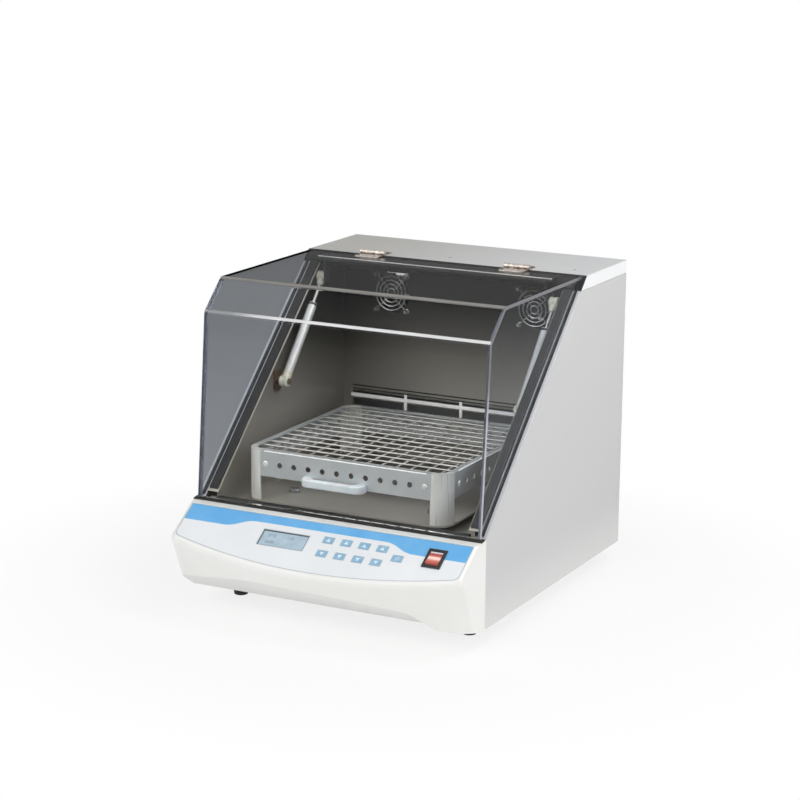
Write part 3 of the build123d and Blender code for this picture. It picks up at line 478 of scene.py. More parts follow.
def circuit_board():
    # Solder-masked glass laminate: green with a woven shimmer.
    return surface("solder-masked laminate", ("1E5B3A", "2B6E49"), (0.25, 0.4),
                   (0.9, 0.9, 6), 0.004, (5, 5, 5), Coat_Weight=0.3)


# ---------------------------------------------------------------- sizes and colours to edit

COLOUR = {"size": 4, "subtype": "COLOR", "min": 0, "max": 1}


class ShakerColours(bpy.types.PropertyGroup):
    panel: FloatVectorProperty(name="Side panels", description="Powder coat of the cabinet",
                               default=linear("CBCBCC"), **COLOUR)
    cover: FloatVectorProperty(name="Top cover", description="Satin stainless cover",
                               default=linear("F7F8F9"), **COLOUR)
    liner: FloatVectorProperty(name="Chamber liner", description="Brushed steel inside the chamber",
                               default=linear("B3AEA5"), **COLOUR)
    console: FloatVectorProperty(name="Console", description="White moulding round the control face",
                                 default=linear("F4F4F2"), **COLOUR)
    overlay: FloatVectorProperty(name="Overlay", description="Film on the control face",
                                 default=linear("F1F4F6"), **COLOUR)
    band: FloatVectorProperty(name="Printed band", description="Band across the top of the control face",
                              default=linear("61AFE9"), **COLOUR)
    key: FloatVectorProperty(name="Keys", description="Print of the membrane keys",
                             default=linear("84B4D4"), **COLOUR)
    display: FloatVectorProperty(name="Display", description="Unlit display panel",
                                 default=linear("B4CBD9"), **COLOUR)
    lid: FloatVectorProperty(name="Lid front", description="Tint of the bent front sheet",
                             default=linear("F7F8F8"), **COLOUR)
    pane: FloatVectorProperty(name="Lid sides", description="Tint of the glued side panes",
                              default=linear("E3E8EF"), **COLOUR)
    # The lower bend's milky band is a painted highlight.
    bend: FloatVectorProperty(name="Lid bend", description="Milky band along the lower bend",
                              default=linear("F2F2F3"), **COLOUR)
    tray: FloatVectorProperty(name="Tray", description="Anodised tray sheet",
                              default=linear("C6C9CA"), **COLOUR)


class ShakerSizes(bpy.types.PropertyGroup):
    band_width: FloatProperty(name="Band width", description="Width of the blue band in the middle (mm)",
                              default=14.3, min=5, max=40)
    tab_width: FloatProperty(name="Tab width", description="Width of the band at its two ends (mm)",
                             default=28.4, min=5, max=60)
    legend_size: FloatProperty(name="Legend size", description="Width of a key's arrow (mm)",
                               default=6.4, min=1, max=9)
    wire_radius: FloatProperty(name="Guard wire", description="Radius of the fan guard wire (mm)",
                               default=0.95, min=0.3, max=2)
    screw_radius: FloatProperty(name="Screw head", description="Radius of a small pan head (mm)",
                                default=2.7, min=1, max=5)
    bar_radius: FloatProperty(name="Tray bars", description="Radius of the tray's crossing bars (mm)",
                              default=1.1, min=0.6, max=2.5)
    rivet_radius: FloatProperty(name="Rivet", description="Radius of a tray rivet head (mm)",
                                default=4.4, min=1, max=6)


class ShakerStudio(bpy.types.PropertyGroup):
    azimuth: FloatProperty(name="Azimuth", description="Camera angle round the cabinet",
                           default=radians(27.144), subtype="ANGLE")
    elevation: FloatProperty(name="Elevation", description="Camera angle above the bench",
                             default=radians(13.47), subtype="ANGLE")
    roll: FloatProperty(name="Roll", description="Lean of the camera", default=radians(0.529),
                        subtype="ANGLE")
    distance: FloatProperty(name="Distance", description="Camera distance from its target",
                            default=3.40057, min=1, max=20, unit="LENGTH")
    target: FloatVectorProperty(name="Target", description="Point that the camera looks at",
                                default=(-0.001571, 0.000606, 0.275859), size=3, subtype="TRANSLATION",
                                unit="LENGTH")
    lens: FloatProperty(name="Lens", description="Focal length (mm)", default=107.607, min=20, max=300)
    front_lamp: FloatProperty(name="Front lamp", description="Power of the front soft box", default=45,
                              min=0, max=500, unit="POWER")
    side_lamp: FloatProperty(name="Side lamp", description="Power of the right-hand soft box", default=22,
                             min=0, max=500, unit="POWER")
    top_lamp: FloatProperty(name="Top lamp", description="Power of the overhead soft box", default=7,
                            min=0, max=500, unit="POWER")
    fill: FloatProperty(name="Fill", description="Plain light from all round", default=0.38, min=0, max=2)
    room: FloatProperty(name="Room", description="Brightness of the room in front, as metal shows it",
                        default=0.22, min=0, max=1)
    flag: FloatProperty(name="Flag", description="Brightness of the dark band behind, as the lid shows it",
                        default=0.02, min=0, max=1)
    ceiling: FloatProperty(name="Ceiling", description="Brightness of the ceiling, as metal shows it",
                           default=0.9, min=0, max=1)
    backdrop: FloatProperty(name="Backdrop", description="Brightness of the wall behind, as glass shows it",
                            default=0.25, min=0, max=1)
    floor_glow: FloatProperty(name="Floor glow", description="Whiteness of the floor by the feet",
                              default=0.8, min=0, max=1)


def colours():
    return bpy.context.scene.shaker_colours


def sizes():
    return bpy.context.scene.shaker_sizes


# ---------------------------------------------------------------- modelling helpers

def dress(material, *nodes):
    """Give CAD nodes a material in place of their plain one."""
    for name in nodes:
        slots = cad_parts[name].data.materials
        slots.clear()
        slots.append(material)


def piece(bm, name, material, body, crease=32.0):
    """Close off a mesh made in cabinet millimetres: tidy it, place it, and let it ride on its body."""
    bmesh.ops.remove_doubles(bm, verts=bm.verts, dist=MERGE)
    bmesh.ops.recalc_face_normals(bm, faces=bm.faces)
    bm.transform(CABINET)
    mesh = bpy.data.meshes.new(name)
    bm.to_mesh(mesh)
    bm.free()
    mesh.materials.append(material)
    mesh.shade_smooth()
    mesh.set_sharp_from_angle(angle=radians(crease))
    made = bpy.data.objects.new(name, mesh)
    bpy.context.scene.collection.objects.link(made)
    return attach(made, body)


def copy_of(node):
    """A merged copy of a CAD node's mesh, in the cabinet's millimetres."""
    bm = bmesh.new()
    bm.from_mesh(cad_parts[node].data)
    bm.transform(CABINET.inverted())
    bmesh.ops.remove_doubles(bm, verts=bm.verts, dist=MERGE)
    bm.normal_update()
    return bm


def skin(node, chosen, lift, thick):
    """A thin skin over the faces of a CAD node that are chosen by normal and centre, lifted off them."""
    bm = copy_of(node)
    spare = [face for face in bm.faces if not chosen(face.normal, face.calc_center_median())]
    bmesh.ops.delete(bm, geom=spare, context="FACES")
    bm.normal_update()
    for vert in bm.verts:
        vert.co += vert.normal * lift
    bmesh.ops.solidify(bm, geom=bm.faces, thickness=-thick)
    return bm


def at(x, y, z):
    return Matrix.Translation((x, y, z))


def on_face(x, down, out=0.0):
    """A place on the console's sloping face, some millimetres down from its top edge."""
    return FACE @ at(x, -down, out)


def only(kind, made):
    """The vertices, the edges or the faces out of what an operator made."""
    return [item for item in made["geom"] if isinstance(item, kind)]


def edges_of(made):
    """The edges at the vertices that an operator made."""
    return list({edge for vert in made["verts"] for edge in vert.link_edges})


def raise_face(bm, face, move):
    """Extrude one face by a vector."""
    made = bmesh.ops.extrude_face_region(bm, geom=[face])
    bmesh.ops.translate(bm, vec=move, verts=only(BMVert, made))


def plate(bm, place, outline, thick, rounded, radius, segments=8):
    """A flat plate from an outline in the XY plane of place, with some corners rounded, rising along Z."""
    corners = [bm.verts.new(place @ Vector((x, y, 0))) for x, y in outline]
    bm.faces.new(corners)
    bmesh.ops.bevel(bm, geom=[corners[index] for index in rounded], offset=radius, segments=segments,
                    profile=0.5, affect="VERTICES", material=-1)
    bm.faces.ensure_lookup_table()
    raise_face(bm, bm.faces[-1], place.to_3x3() @ Vector((0, 0, thick)))


def slab(bm, place, size, soften=0.0, segments=3):
    """A box centred on place, with softened edges."""
    made = bmesh.ops.create_cube(bm, size=1.0, matrix=place @ Matrix.Diagonal((*size, 1.0)))
    if soften:
        bmesh.ops.bevel(bm, geom=edges_of(made), offset=soften, segments=segments, profile=0.5,
                        affect="EDGES", material=-1)


def spin_round(bm, place, geometry, steps):
    """Spin vertices and edges once round the Z axis of place."""
    bmesh.ops.spin(bm, geom=geometry, cent=place.translation, axis=place.to_3x3() @ Vector((0, 0, 1)),
                   angle=2 * pi, steps=steps, use_merge=True)


def turned(bm, place, profile, steps=24):
    """Spin a profile of (radius, height) points round the Z axis of place."""
    verts = [bm.verts.new(place @ Vector((radius, 0, height))) for radius, height in profile]
    edges = [bm.edges.new(pair) for pair in zip(verts, verts[1:])]
    spin_round(bm, place, verts + edges, steps)


def ring(bm, place, radius, thick, steps=48, sides=10):
    """Wire bent into a ring round the Z axis of place."""
    section = place @ at(radius, 0, 0) @ Matrix.Rotation(pi / 2, 4, "X")
    made = bmesh.ops.create_circle(bm, radius=thick, segments=sides, matrix=section)
    spin_round(bm, place, made["verts"] + edges_of(made), steps)


def wire(bm, points, radius, sides=10):
    """Round wire through a few points, closed at both ends."""
    points = [Vector(point) for point in points]
    way = (points[1] - points[0]).normalized()
    turn = way.to_track_quat("Z", "Y")
    place = Matrix.LocRotScale(points[0], turn, None)
    made = bmesh.ops.create_circle(bm, cap_ends=True, radius=radius, segments=sides, matrix=place)
    face = made["verts"][0].link_faces[0]
    for index in range(1, len(points)):
        ahead = (points[min(index + 1, len(points) - 1)] - points[index - 1]).normalized()
        turn = way.rotation_difference(ahead) @ turn
        way = ahead
        moved = Matrix.LocRotScale(points[index], turn, None)
        made = bmesh.ops.extrude_face_region(bm, geom=[face])
        face = only(BMFace, made)[0]
        bmesh.ops.transform(bm, matrix=moved @ place.inverted(), verts=only(BMVert, made))
        place = moved


def screw(bm, place, radius, height):
    """A pan-head screw whose head stands on the XY plane of place, with a cross recess."""
    arm, half, flat = 0.58 * radius, 0.15 * radius, 0.72
    cross = [(arm, half), (half, half), (half, arm), (-half, arm), (-half, half), (-arm, half),
             (-arm, -half), (-half, -half), (-half, -arm), (half, -arm), (half, -half), (arm, -half)]
    top = place @ at(0, 0, height)
    recess = bm.faces.new([bm.verts.new(top @ Vector((x, y, 0))) for x, y in cross])
    rim = edges_of(bmesh.ops.create_circle(bm, radius=flat * radius, segments=12, matrix=top))
    bmesh.ops.bridge_loops(bm, edges=rim + list(recess.edges))
    raise_face(bm, recess, top.to_3x3() @ Vector((0, 0, -0.45 * height)))
    # From its flat the head rounds out and down: each rim's share of the radius, and its drop.
    width = flat
    for share, drop in ((0.9, 0.22), (1.0, 0.62), (1.0, 1.0)):
        made = bmesh.ops.extrude_edge_only(bm, edges=rim)
        verts, rim = only(BMVert, made), only(BMEdge, made)
        middle = sum((vert.co for vert in verts), Vector()) / len(verts)
        level = place @ Vector((0, 0, height * (1 - drop)))
        bmesh.ops.scale(bm, vec=[share / width] * 3, space=Matrix.Translation(-middle), verts=verts)
        bmesh.ops.translate(bm, vec=level - middle, verts=verts)
        width = share
    bmesh.ops.edgeloop_fill(bm, edges=rim)


# ---------------------------------------------------------------- operators

class SHAKER_OT_cabinet(bpy.types.Operator):
    """Finish the cabinet's sheet metal, feet and screws"""
    bl_idname = "shaker.cabinet"
    bl_label = "Cabinet"

    def execute(self, context):
        dress(powder_coated_steel(), "side_panel_left", "side_panel_right", "back_panel", "base_pan")
        dress(satin_stainless(), "top_cover")
        dress(foot_rubber(), "rubber_feet")
        dress(zinc_plated_steel(), "cabinet_screws")
        # Three small screws through the top of the cover, in line behind the hinges.
        bm = bmesh.new()
        for x in (-203, -5, 193):
            screw(bm, at(x, 351, COVER_TOP - 0.1), 2.0, 1.0)
        piece(bm, "cover_screws", zinc_plated_steel(), "cabinet")
        return {"FINISHED"}


class SHAKER_OT_chamber(bpy.types.Operator):
    """Finish the chamber and its seals, and add the vents' strip and slots"""
    bl_idname = "shaker.chamber"
    bl_label = "Chamber"

    def execute(self, context):
        dress(brushed_liner_steel(), "chamber_liner", "chamber_floor")
        dress(bright_edge_steel(), "seal_frame")
        dress(seal_rubber(), "lid_gasket")
        dress(heater_sheath(), "heater_element")
        dress(probe_plastic(), "temperature_probe")
        # Low in the back wall a bright strip on three ties covers the vents, under three dark slots of
        # painted shade.
        strip = 198.0
        bm = bmesh.new()
        slab(bm, at(0, 384.6, strip), (372, 2.6, 5.4), 1.1)
        for x in (-93, 0, 93):
            slab(bm, at(x, 384.9, strip - 3.4), (4.5, 2.0, 24.5), 0.8)
        piece(bm, "vent_bar", polished_edge_highlight(), "cabinet")
        bm = bmesh.new()
        for index in range(3):
            slab(bm, at(0, 385.4, strip + 4.6 + 5.2 * index), (366, 0.4, 2.0))
        piece(bm, "vent_slot_shade", slot_shade(), "cabinet")
        # Black strip on the cover's sloping front lip, under the back of the lid's sheet: painted shade in
        # the seal's rubber.
        lip = skin("top_cover", lambda n, c: c.y < 321.1 and n.z > 0.3 and abs(n.x) < 0.5, 0.04, 0.06)
        piece(lip, "cover_lip_shade", seal_rubber(), "cabinet")
        return {"FINISHED"}


class SHAKER_OT_lid(bpy.types.Operator):
    """Finish the clear lid, its edges and bends, and its black mounting bar"""
    bl_idname = "shaker.lid"
    bl_label = "Lid"

    def execute(self, context):
        dress(acrylic("bent acrylic sheet", colours().lid, 0.03, 1.18), "lid_shell")
        dress(acrylic("side acrylic sheet", colours().pane, 0.04, 1.12), "lid_side_panes")
        dress(black_bar_paint(), "lid_mounting_strip", "strut_brackets_upper")
        # The sheet's front leans back by 5 degrees, its next stretch by 47 and its top by 90. The
        # bends and edges are skins on it that carry painted light, and the glued joints, with painted edge
        # light, lie in the panes, under the sheet.
        for name, material, node, lift, chosen in (
                ("lid_sheet_edges", sheet_edge_light(), "lid_shell", 0.03, lambda n, c: abs(n.x) > 0.9),
                ("lid_glued_joints", glued_joint_edge_light(), "lid_side_panes", -0.2,
                 lambda n, c: abs(n.x) < 0.1 and (n.y < -0.5 or n.z > 0.5)),
                ("lid_lower_bend", lower_bend_highlight(), "lid_shell", 0.03,
                 lambda n, c: abs(n.x) < 0.1 and n.y < 0 and 0.3 < n.z < 0.69),
                ("lid_upper_bend", upper_bend_highlight(), "lid_shell", 0.03,
                 lambda n, c: abs(n.x) < 0.1 and n.y < -0.02 and n.z > 0.76)):
            piece(skin(node, chosen, lift, 0.08), name, material, "lid")
        bm = bmesh.new()
        slab(bm, at(0, 282.6, 424.3), (376, 0.7, 1.5), 0.15, 2)
        piece(bm, "lid_bar_edge_highlight", polished_edge_highlight(), "lid")
        return {"FINISHED"}


class SHAKER_OT_hinges(bpy.types.Operator):
    """Finish the hinges and drive their screws"""
    bl_idname = "shaker.hinges"
    bl_label = "Hinges"

    def execute(self, context):
        dress(polished_chrome(), "hinge_fixed_leaves", "hinge_moving_leaves")
        for name, y, body in (("hinge_screws_fixed", 335, "cabinet"), ("hinge_screws_moving", 305, "lid")):
            bm = bmesh.new()
            for hinge in (-HINGE_OUT, HINGE_OUT):
                for x in (-12, 0, 12):
                    screw(bm, at(hinge + x, y, COVER_TOP + 1.3), sizes().screw_radius, 1.1)
            piece(bm, name, zinc_plated_steel(), body)
        return {"FINISHED"}


class SHAKER_OT_struts(bpy.types.Operator):
    """Finish the gas struts, and turn their glands and end sockets"""
    bl_idname = "shaker.struts"
    bl_label = "Gas Struts"

    def execute(self, context):
        dress(passivated_bracket(), "strut_brackets_lower")
        dress(drawn_strut_steel(), "strut_cylinder_left", "strut_cylinder_right",
              "strut_rod_left", "strut_rod_right")
        # Profiles of radius and height: the gland on the tube's mouth, the eye round a pin, and the
        # neck from the eye to the ribbed tube end or to the slim rod end.
        gland = [(5.75, 0), (6.75, 0.4), (6.95, 1.6), (6.75, 3.2), (6.3, 4.2), (5.7, 4.5), (5.6, 2.5),
                 (5.75, 0)]
        eye = [(3.3, -6.25), (7.5, -6.25), (7.9, -5.8), (7.9, -2.2), (7.25, -1.6), (7.25, 1.6),
               (7.9, 2.2), (7.9, 5.8), (7.5, 6.25), (3.3, 6.25), (3.3, -6.25)]
        tube_neck = [(6.9, 4.5), (6.6, 8.0), (6.8, 8.6), (6.8, 10.0), (6.2, 10.6), (6.2, 12.0),
                     (6.8, 12.6), (6.8, 14.0), (6.7, 15.8), (4.6, 16.0), (4.6, 4.5), (6.9, 4.5)]
        rod_neck = [(5.9, 4.5), (5.4, 8.0), (5.5, 10.0), (5.0, 12.5), (3.4, 15.2), (2.2, 15.4),
                    (2.2, 4.5), (5.9, 4.5)]
        for label, mirror in (("left", 1), ("right", -1)):
            foot, head = (Vector((mirror * pin.x, pin.y, pin.z)) for pin in (STRUT_FOOT, STRUT_HEAD))
            tube, rod = f"strut_cylinder_{label}", f"strut_rod_{label}"
            upward = Matrix.Translation(foot) @ (head - foot).to_track_quat("Z", "Y").to_matrix().to_4x4()
            downward = Matrix.Translation(head) @ (foot - head).to_track_quat("Z", "Y").to_matrix().to_4x4()
            bm = bmesh.new()
            turned(bm, upward @ at(0, 0, 125.5), gland)
            piece(bm, f"strut_gland_{label}", black_nylon(), tube)
            for name, body, neck, place in (("foot", tube, tube_neck, upward),
                                            ("head", rod, rod_neck, downward)):
                bm = bmesh.new()
                turned(bm, Matrix.Translation(place.translation) @ Matrix.Rotation(pi / 2, 4, "Y"), eye, 28)
                turned(bm, place, neck)
                piece(bm, f"strut_{name}_socket_{label}", cream_nylon(), body)
        return {"FINISHED"}


class SHAKER_OT_console(bpy.types.Operator):
    """Finish the console moulding and print its overlay"""
    bl_idname = "shaker.console"
    bl_label = "Console"

    def execute(self, context):
        dress(console_abs(), "console_shell")
        dress(overlay_film(), "control_overlay")
        # The band is narrow in the middle and steps down to a deeper tab at each end.
        half, wide, tab = 217.4, sizes().band_width, sizes().tab_width
        outline = [(-half, 0.2), (half, 0.2), (half, -tab), (130, -tab), (102, -wide), (-116, -wide),
                   (-144, -tab), (-half, -tab)]
        bm = bmesh.new()
        plate(bm, on_face(0, 1, OVERLAY_TOP - 0.02), outline, 0.07, (3, 4, 5, 6), 9.0)
        piece(bm, "overlay_band", blue_print(), "cabinet")
        # A thin grey line of painted shade stands for the film's recessed edge, all round and round its
        # openings.
        out = FACE.to_3x3().col[2]
        bm = copy_of("control_overlay")
        spare = [face for face in bm.faces if face.normal.dot(out) < 0.9]
        bmesh.ops.delete(bm, geom=spare, context="FACES")
        rim = bmesh.ops.inset_region(bm, faces=bm.faces, thickness=0.8, use_boundary=True,
                                     use_even_offset=True)["faces"]
        bmesh.ops.delete(bm, geom=list(set(bm.faces) - set(rim)), context="FACES")
        bm.normal_update()
        bmesh.ops.translate(bm, vec=out * 0.08, verts=bm.verts)
        bmesh.ops.solidify(bm, geom=bm.faces, thickness=-0.05)
        piece(bm, "overlay_border", film_edge_shade(), "cabinet")
        return {"FINISHED"}


class SHAKER_OT_display(bpy.types.Operator):
    """Build the display window's edge and its numbers"""
    bl_idname = "shaker.display"
    bl_label = "Display"

    def execute(self, context):
        dress(display_glass(), "lcd_module")
        # The window's four edges of painted shade, wide at the top and left, where the shade falls.
        bm = bmesh.new()
        for x, down, size in ((-54, 27.1, (71, 2.2, 0.5)), (-88.7, 39.5, (1.6, 27, 0.5)),
                              (-54, 52.7, (71, 0.6, 0.5)), (-18.9, 39.5, (0.7, 27, 0.5))):
            slab(bm, on_face(x, down, -0.62), size, 0.1, 1)
        piece(bm, "display_edge_shade", window_shade(), "cabinet")
        for name, words, x, down, tall in (("display_temperature", "37.0", -80, 37.5, 7.5),
                                           ("display_speed", "120", -50, 37.5, 7.5),
                                           ("display_timer", "24:00", -80, 48.5, 6.5)):
            curve = bpy.data.curves.new(name, "FONT")
            curve.body = words
            curve.size = tall
            curve.extrude = 0.02
            curve.resolution_u = 3
            holder = bpy.data.objects.new(name, curve)
            bpy.context.scene.collection.objects.link(holder)
            bpy.context.view_layer.update()
            bm = bmesh.new()
            bm.from_mesh(holder.to_mesh())
            bpy.data.objects.remove(holder)
            bm.transform(on_face(x, down, -0.57))
            piece(bm, name, display_ink(), "cabinet")
        return {"FINISHED"}


class SHAKER_OT_keys(bpy.types.Operator):
    """Finish the membrane keys and print their arrows"""
    bl_idname = "shaker.keys"
    bl_label = "Keys"

    def execute(self, context):
        dress(key_print(), "key_run", *KEY_PLACES)
        half = sizes().legend_size / 2
        for name, (x, down) in KEY_PLACES.items():
            tip = 1 if name.endswith("up") else -1
            bm = bmesh.new()
            outline = [(-half, -0.75 * half * tip), (half, -0.75 * half * tip), (0, 0.95 * half * tip)]
            plate(bm, on_face(x, down, KEY_TOP), outline, 0.08, (0, 1, 2), 0.5, 3)
            piece(bm, name.replace("key_", "arrow_"), white_print(), name)
        bm = bmesh.new()
        ring(bm, on_face(120.8, 40.3, KEY_TOP), 2.3, 0.35, 24, 6)
        piece(bm, "run_mark", white_print(), "key_run")
        return {"FINISHED"}


class SHAKER_OT_switch(bpy.types.Operator):
    """Finish the mains rocker switch"""
    bl_idname = "shaker.switch"
    bl_label = "Rocker Switch"

    def execute(self, context):
        dress(black_nylon(), "switch_housing")
        dress(red_rocker(), "rocker")
        return {"FINISHED"}


class SHAKER_OT_fans(bpy.types.Operator):
    """Finish the fans and bend their wire finger guards"""
    bl_idname = "shaker.fans"
    bl_label = "Fans"

    def execute(self, context):
        dress(black_nylon(), "fan_frames", "fan_rotor_left", "fan_rotor_right")
        thick = sizes().wire_radius
        forward = Matrix.Rotation(pi / 2, 4, "X")
        guards = bmesh.new()
        screws = bmesh.new()
        for x in (-FAN_OUT, FAN_OUT):
            for radius in (6.0, 12.2, 18.4, 24.6):
                ring(guards, at(x, 380, FAN_UP) @ forward, radius, thick)
            # Four spokes lie behind the rings, and step back at their ends to the eyes at the screws.
            centre = Vector((x, 381.6, FAN_UP))
            for angle in (45, 135, 225, 315):
                way = Vector((cos(radians(angle)), 0, sin(radians(angle))))
                foot = centre + way * FAN_SCREW_RING + Vector((0, 3.4, 0))
                wire(guards, [centre + way * 5.5, centre + way * 27, centre + way * 31.5, foot], thick)
                seat = Matrix.Translation(foot) @ forward
                ring(guards, seat, 3.0, thick, 20)
                screw(screws, seat @ at(0, 0, 0.6), 2.9, 1.5)
        guard = piece(guards, "fan_finger_guards", guard_wire(), "cabinet")
        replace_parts(guard, "fan_guards")
        piece(screws, "fan_guard_screws", zinc_plated_steel(), "cabinet")
        return {"FINISHED"}


class SHAKER_OT_tray(bpy.types.Operator):
    """Finish the tray, set its rivets and lay its bars"""
    bl_idname = "shaker.tray"
    bl_label = "Tray"

    def execute(self, context):
        dress(tray_aluminium(), "tray_bands")
        dress(post_aluminium(), "tray_corner_posts")
        dress(tray_plate_aluminium(), "tray_base")
        dress(handle_polypropylene(), "tray_handle")
        dress(zinc_plated_steel(), "tray_screws")
        inside = CABINET.inverted()
        low, high = (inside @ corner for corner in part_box("tray_bands"))
        middle = (low + high) / 2

        # Two rivets near the ends of each side's band: place, and the turn that faces them outwards.
        head = [(0, 1.3), (0.55, 1.2), (0.85, 0.8), (1.0, 0.0), (0, 0)]
        bm = bmesh.new()
        for sign in (-1, 1):
            x, y, z = middle.x + sign * 124.3, middle.y + sign * 113.0, high.z - 19
            for place, turn in ((at(x, low.y, z), 0), (at(x, high.y, z), pi),
                                (at(high.x, y, z), pi / 2), (at(low.x, y, z), -pi / 2)):
                outward = place @ Matrix.Rotation(turn, 4, "Z") @ Matrix.Rotation(pi / 2, 4, "X")
                turned(bm, outward, [(share * sizes().rivet_radius, rise) for share, rise in head], 20)
        piece(bm, "tray_rivets", post_aluminium(), "platform")

        bm = bmesh.new()
        slab(bm, at(middle.x, low.y + 0.75, high.z - 0.7), (254, 1.6, 1.5), 0.3, 2)
        slab(bm, at(high.x - 0.75, middle.y, high.z - 0.55), (1.6, 234, 1.2), 0.3, 2)
        piece(bm, "tray_band_edge_highlight", band_edge_highlight(), "platform")

        # Thirteen bars each way at the pitch of the bands' holes. Those that run across lie on top,
        # and the outermost ones stop short of the rounded corner posts.
        low, high = (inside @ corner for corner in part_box("tray_rods"))
        thick, pitch, last = sizes().bar_radius, 22.6, 6
        bm = bmesh.new()
        for index in range(-last, last + 1):
            x, y = middle.x + index * pitch, middle.y + index * pitch
            short = 16 if abs(index) == last else 0
            reach, upper = (high - low) / 2 - Vector((short, short, 0)), high.z - thick
            wire(bm, [(middle.x - reach.x, y, upper), (middle.x + reach.x, y, upper)], thick, 12)
            lower = upper - 2 * thick
            wire(bm, [(x, middle.y - reach.y, lower), (x, middle.y + reach.y, lower)], thick, 12)
        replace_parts(piece(bm, "tray_bars", bar_steel(), "platform"), "tray_rods")
        return {"FINISHED"}


class SHAKER_OT_drive(bpy.types.Operator):
    """Finish the orbital drive under the chamber"""
    bl_idname = "shaker.drive"
    bl_label = "Orbital Drive"

    def execute(self, context):
        dress(cast_frame_iron(), "drive_frame")
        dress(turned_steel(), "drive_crank", "idler_crank_1", "idler_crank_2", "idler_crank_3",
              "motor_pulley")
        dress(motor_enamel(), "motor_body")
        dress(belt_rubber(), "drive_belt")
        dress(carrier_aluminium(), "platform_carrier")
        return {"FINISHED"}


class SHAKER_OT_electrics(bpy.types.Operator):
    """Finish the board, the power supply and the mains inlet"""
    bl_idname = "shaker.electrics"
    bl_label = "Electrics"

    def execute(self, context):
        dress(circuit_board(), "control_board")
        dress(galvanised_sheet(), "power_supply")
        dress(black_nylon(), "power_inlet")
        bm = bmesh.new()
        for x in (130, 170):
            screw(bm, at(x, 471.0, 60) @ Matrix.Rotation(-pi / 2, 4, "X"), 2.9, 1.2)
        piece(bm, "inlet_screws", zinc_plated_steel(), "cabinet")
        return {"FINISHED"}


# ---------------------------------------------------------------- studio

def soft_box(name, power, place, aim, width, height):
    """A large soft rectangular lamp."""
    lamp = bpy.data.lights.new(name, "AREA")
    lamp.shape = "RECTANGLE"
    lamp.size, lamp.size_y, lamp.energy = width, height, power
    holder = bpy.data.objects.new(name, lamp)
    bpy.context.scene.collection.objects.link(holder)
    holder.location = place
    holder.rotation_mode = "QUATERNION"
    holder.rotation_quaternion = (Vector(aim) - Vector(place)).to_track_quat("-Z", "Y")


def paper_sweep(studio):
    # Matt white paper: it keeps a soft shadow near the feet and fades to plain white further out.
    # Through the lid it is as grey as the wall behind, and a little lighter near the feet.
    material, tree = empty_material("white paper sweep")
    rays = add(tree, "ShaderNodeLightPath").outputs
    mirror = add(tree, "ShaderNodeMath", {0: rays["Is Glossy Ray"], 1: rays["Is Transmission Ray"]},
                 operation="MAXIMUM")
    seen = add(tree, "ShaderNodeMath", {0: rays["Is Camera Ray"], 1: mirror.outputs[0]},
               operation="MAXIMUM")
    place = add(tree, "ShaderNodeTexCoord").outputs["Object"]
    fibre = add(tree, "ShaderNodeTexNoise", {"Vector": place, "Scale": 3.3})
    mottle = add(tree, "ShaderNodeMix", {0: fibre.outputs[0], 6: linear("F9F9F8"), 7: linear("F4F4F3")},
                 data_type="RGBA")
    paper = add(tree, "ShaderNodeBsdfDiffuse", {"Color": mottle.outputs[2]})
    away = add(tree, "ShaderNodeVectorMath", {0: place}, operation="LENGTH").outputs["Value"]
    grey = add(tree, "ShaderNodeMapRange", {"Value": away, "From Min": 0.6, "From Max": 2.0,
                                            "To Min": 1.3 * studio.backdrop, "To Max": studio.backdrop})
    level = add(tree, "ShaderNodeMix", {0: rays["Is Transmission Ray"], 2: 1.0, 3: grey.outputs[0]},
                data_type="FLOAT")
    glow = add(tree, "ShaderNodeEmission", {"Color": (1, 1, 1, 1), "Strength": level.outputs[0]})
    fade = add(tree, "ShaderNodeMapRange", {"Value": away, "From Min": 0.3, "From Max": 0.75,
                                            "To Min": studio.floor_glow, "To Max": 1.0},
               interpolation_type="SMOOTHSTEP")
    share = add(tree, "ShaderNodeMath", {0: seen.outputs[0], 1: fade.outputs[0]}, operation="MULTIPLY")
    both = add(tree, "ShaderNodeMixShader", {0: share.outputs[0], 1: paper.outputs[0], 2: glow.outputs[0]})
    add(tree, "ShaderNodeOutputMaterial", {"Surface": both.outputs[0]})
    return material


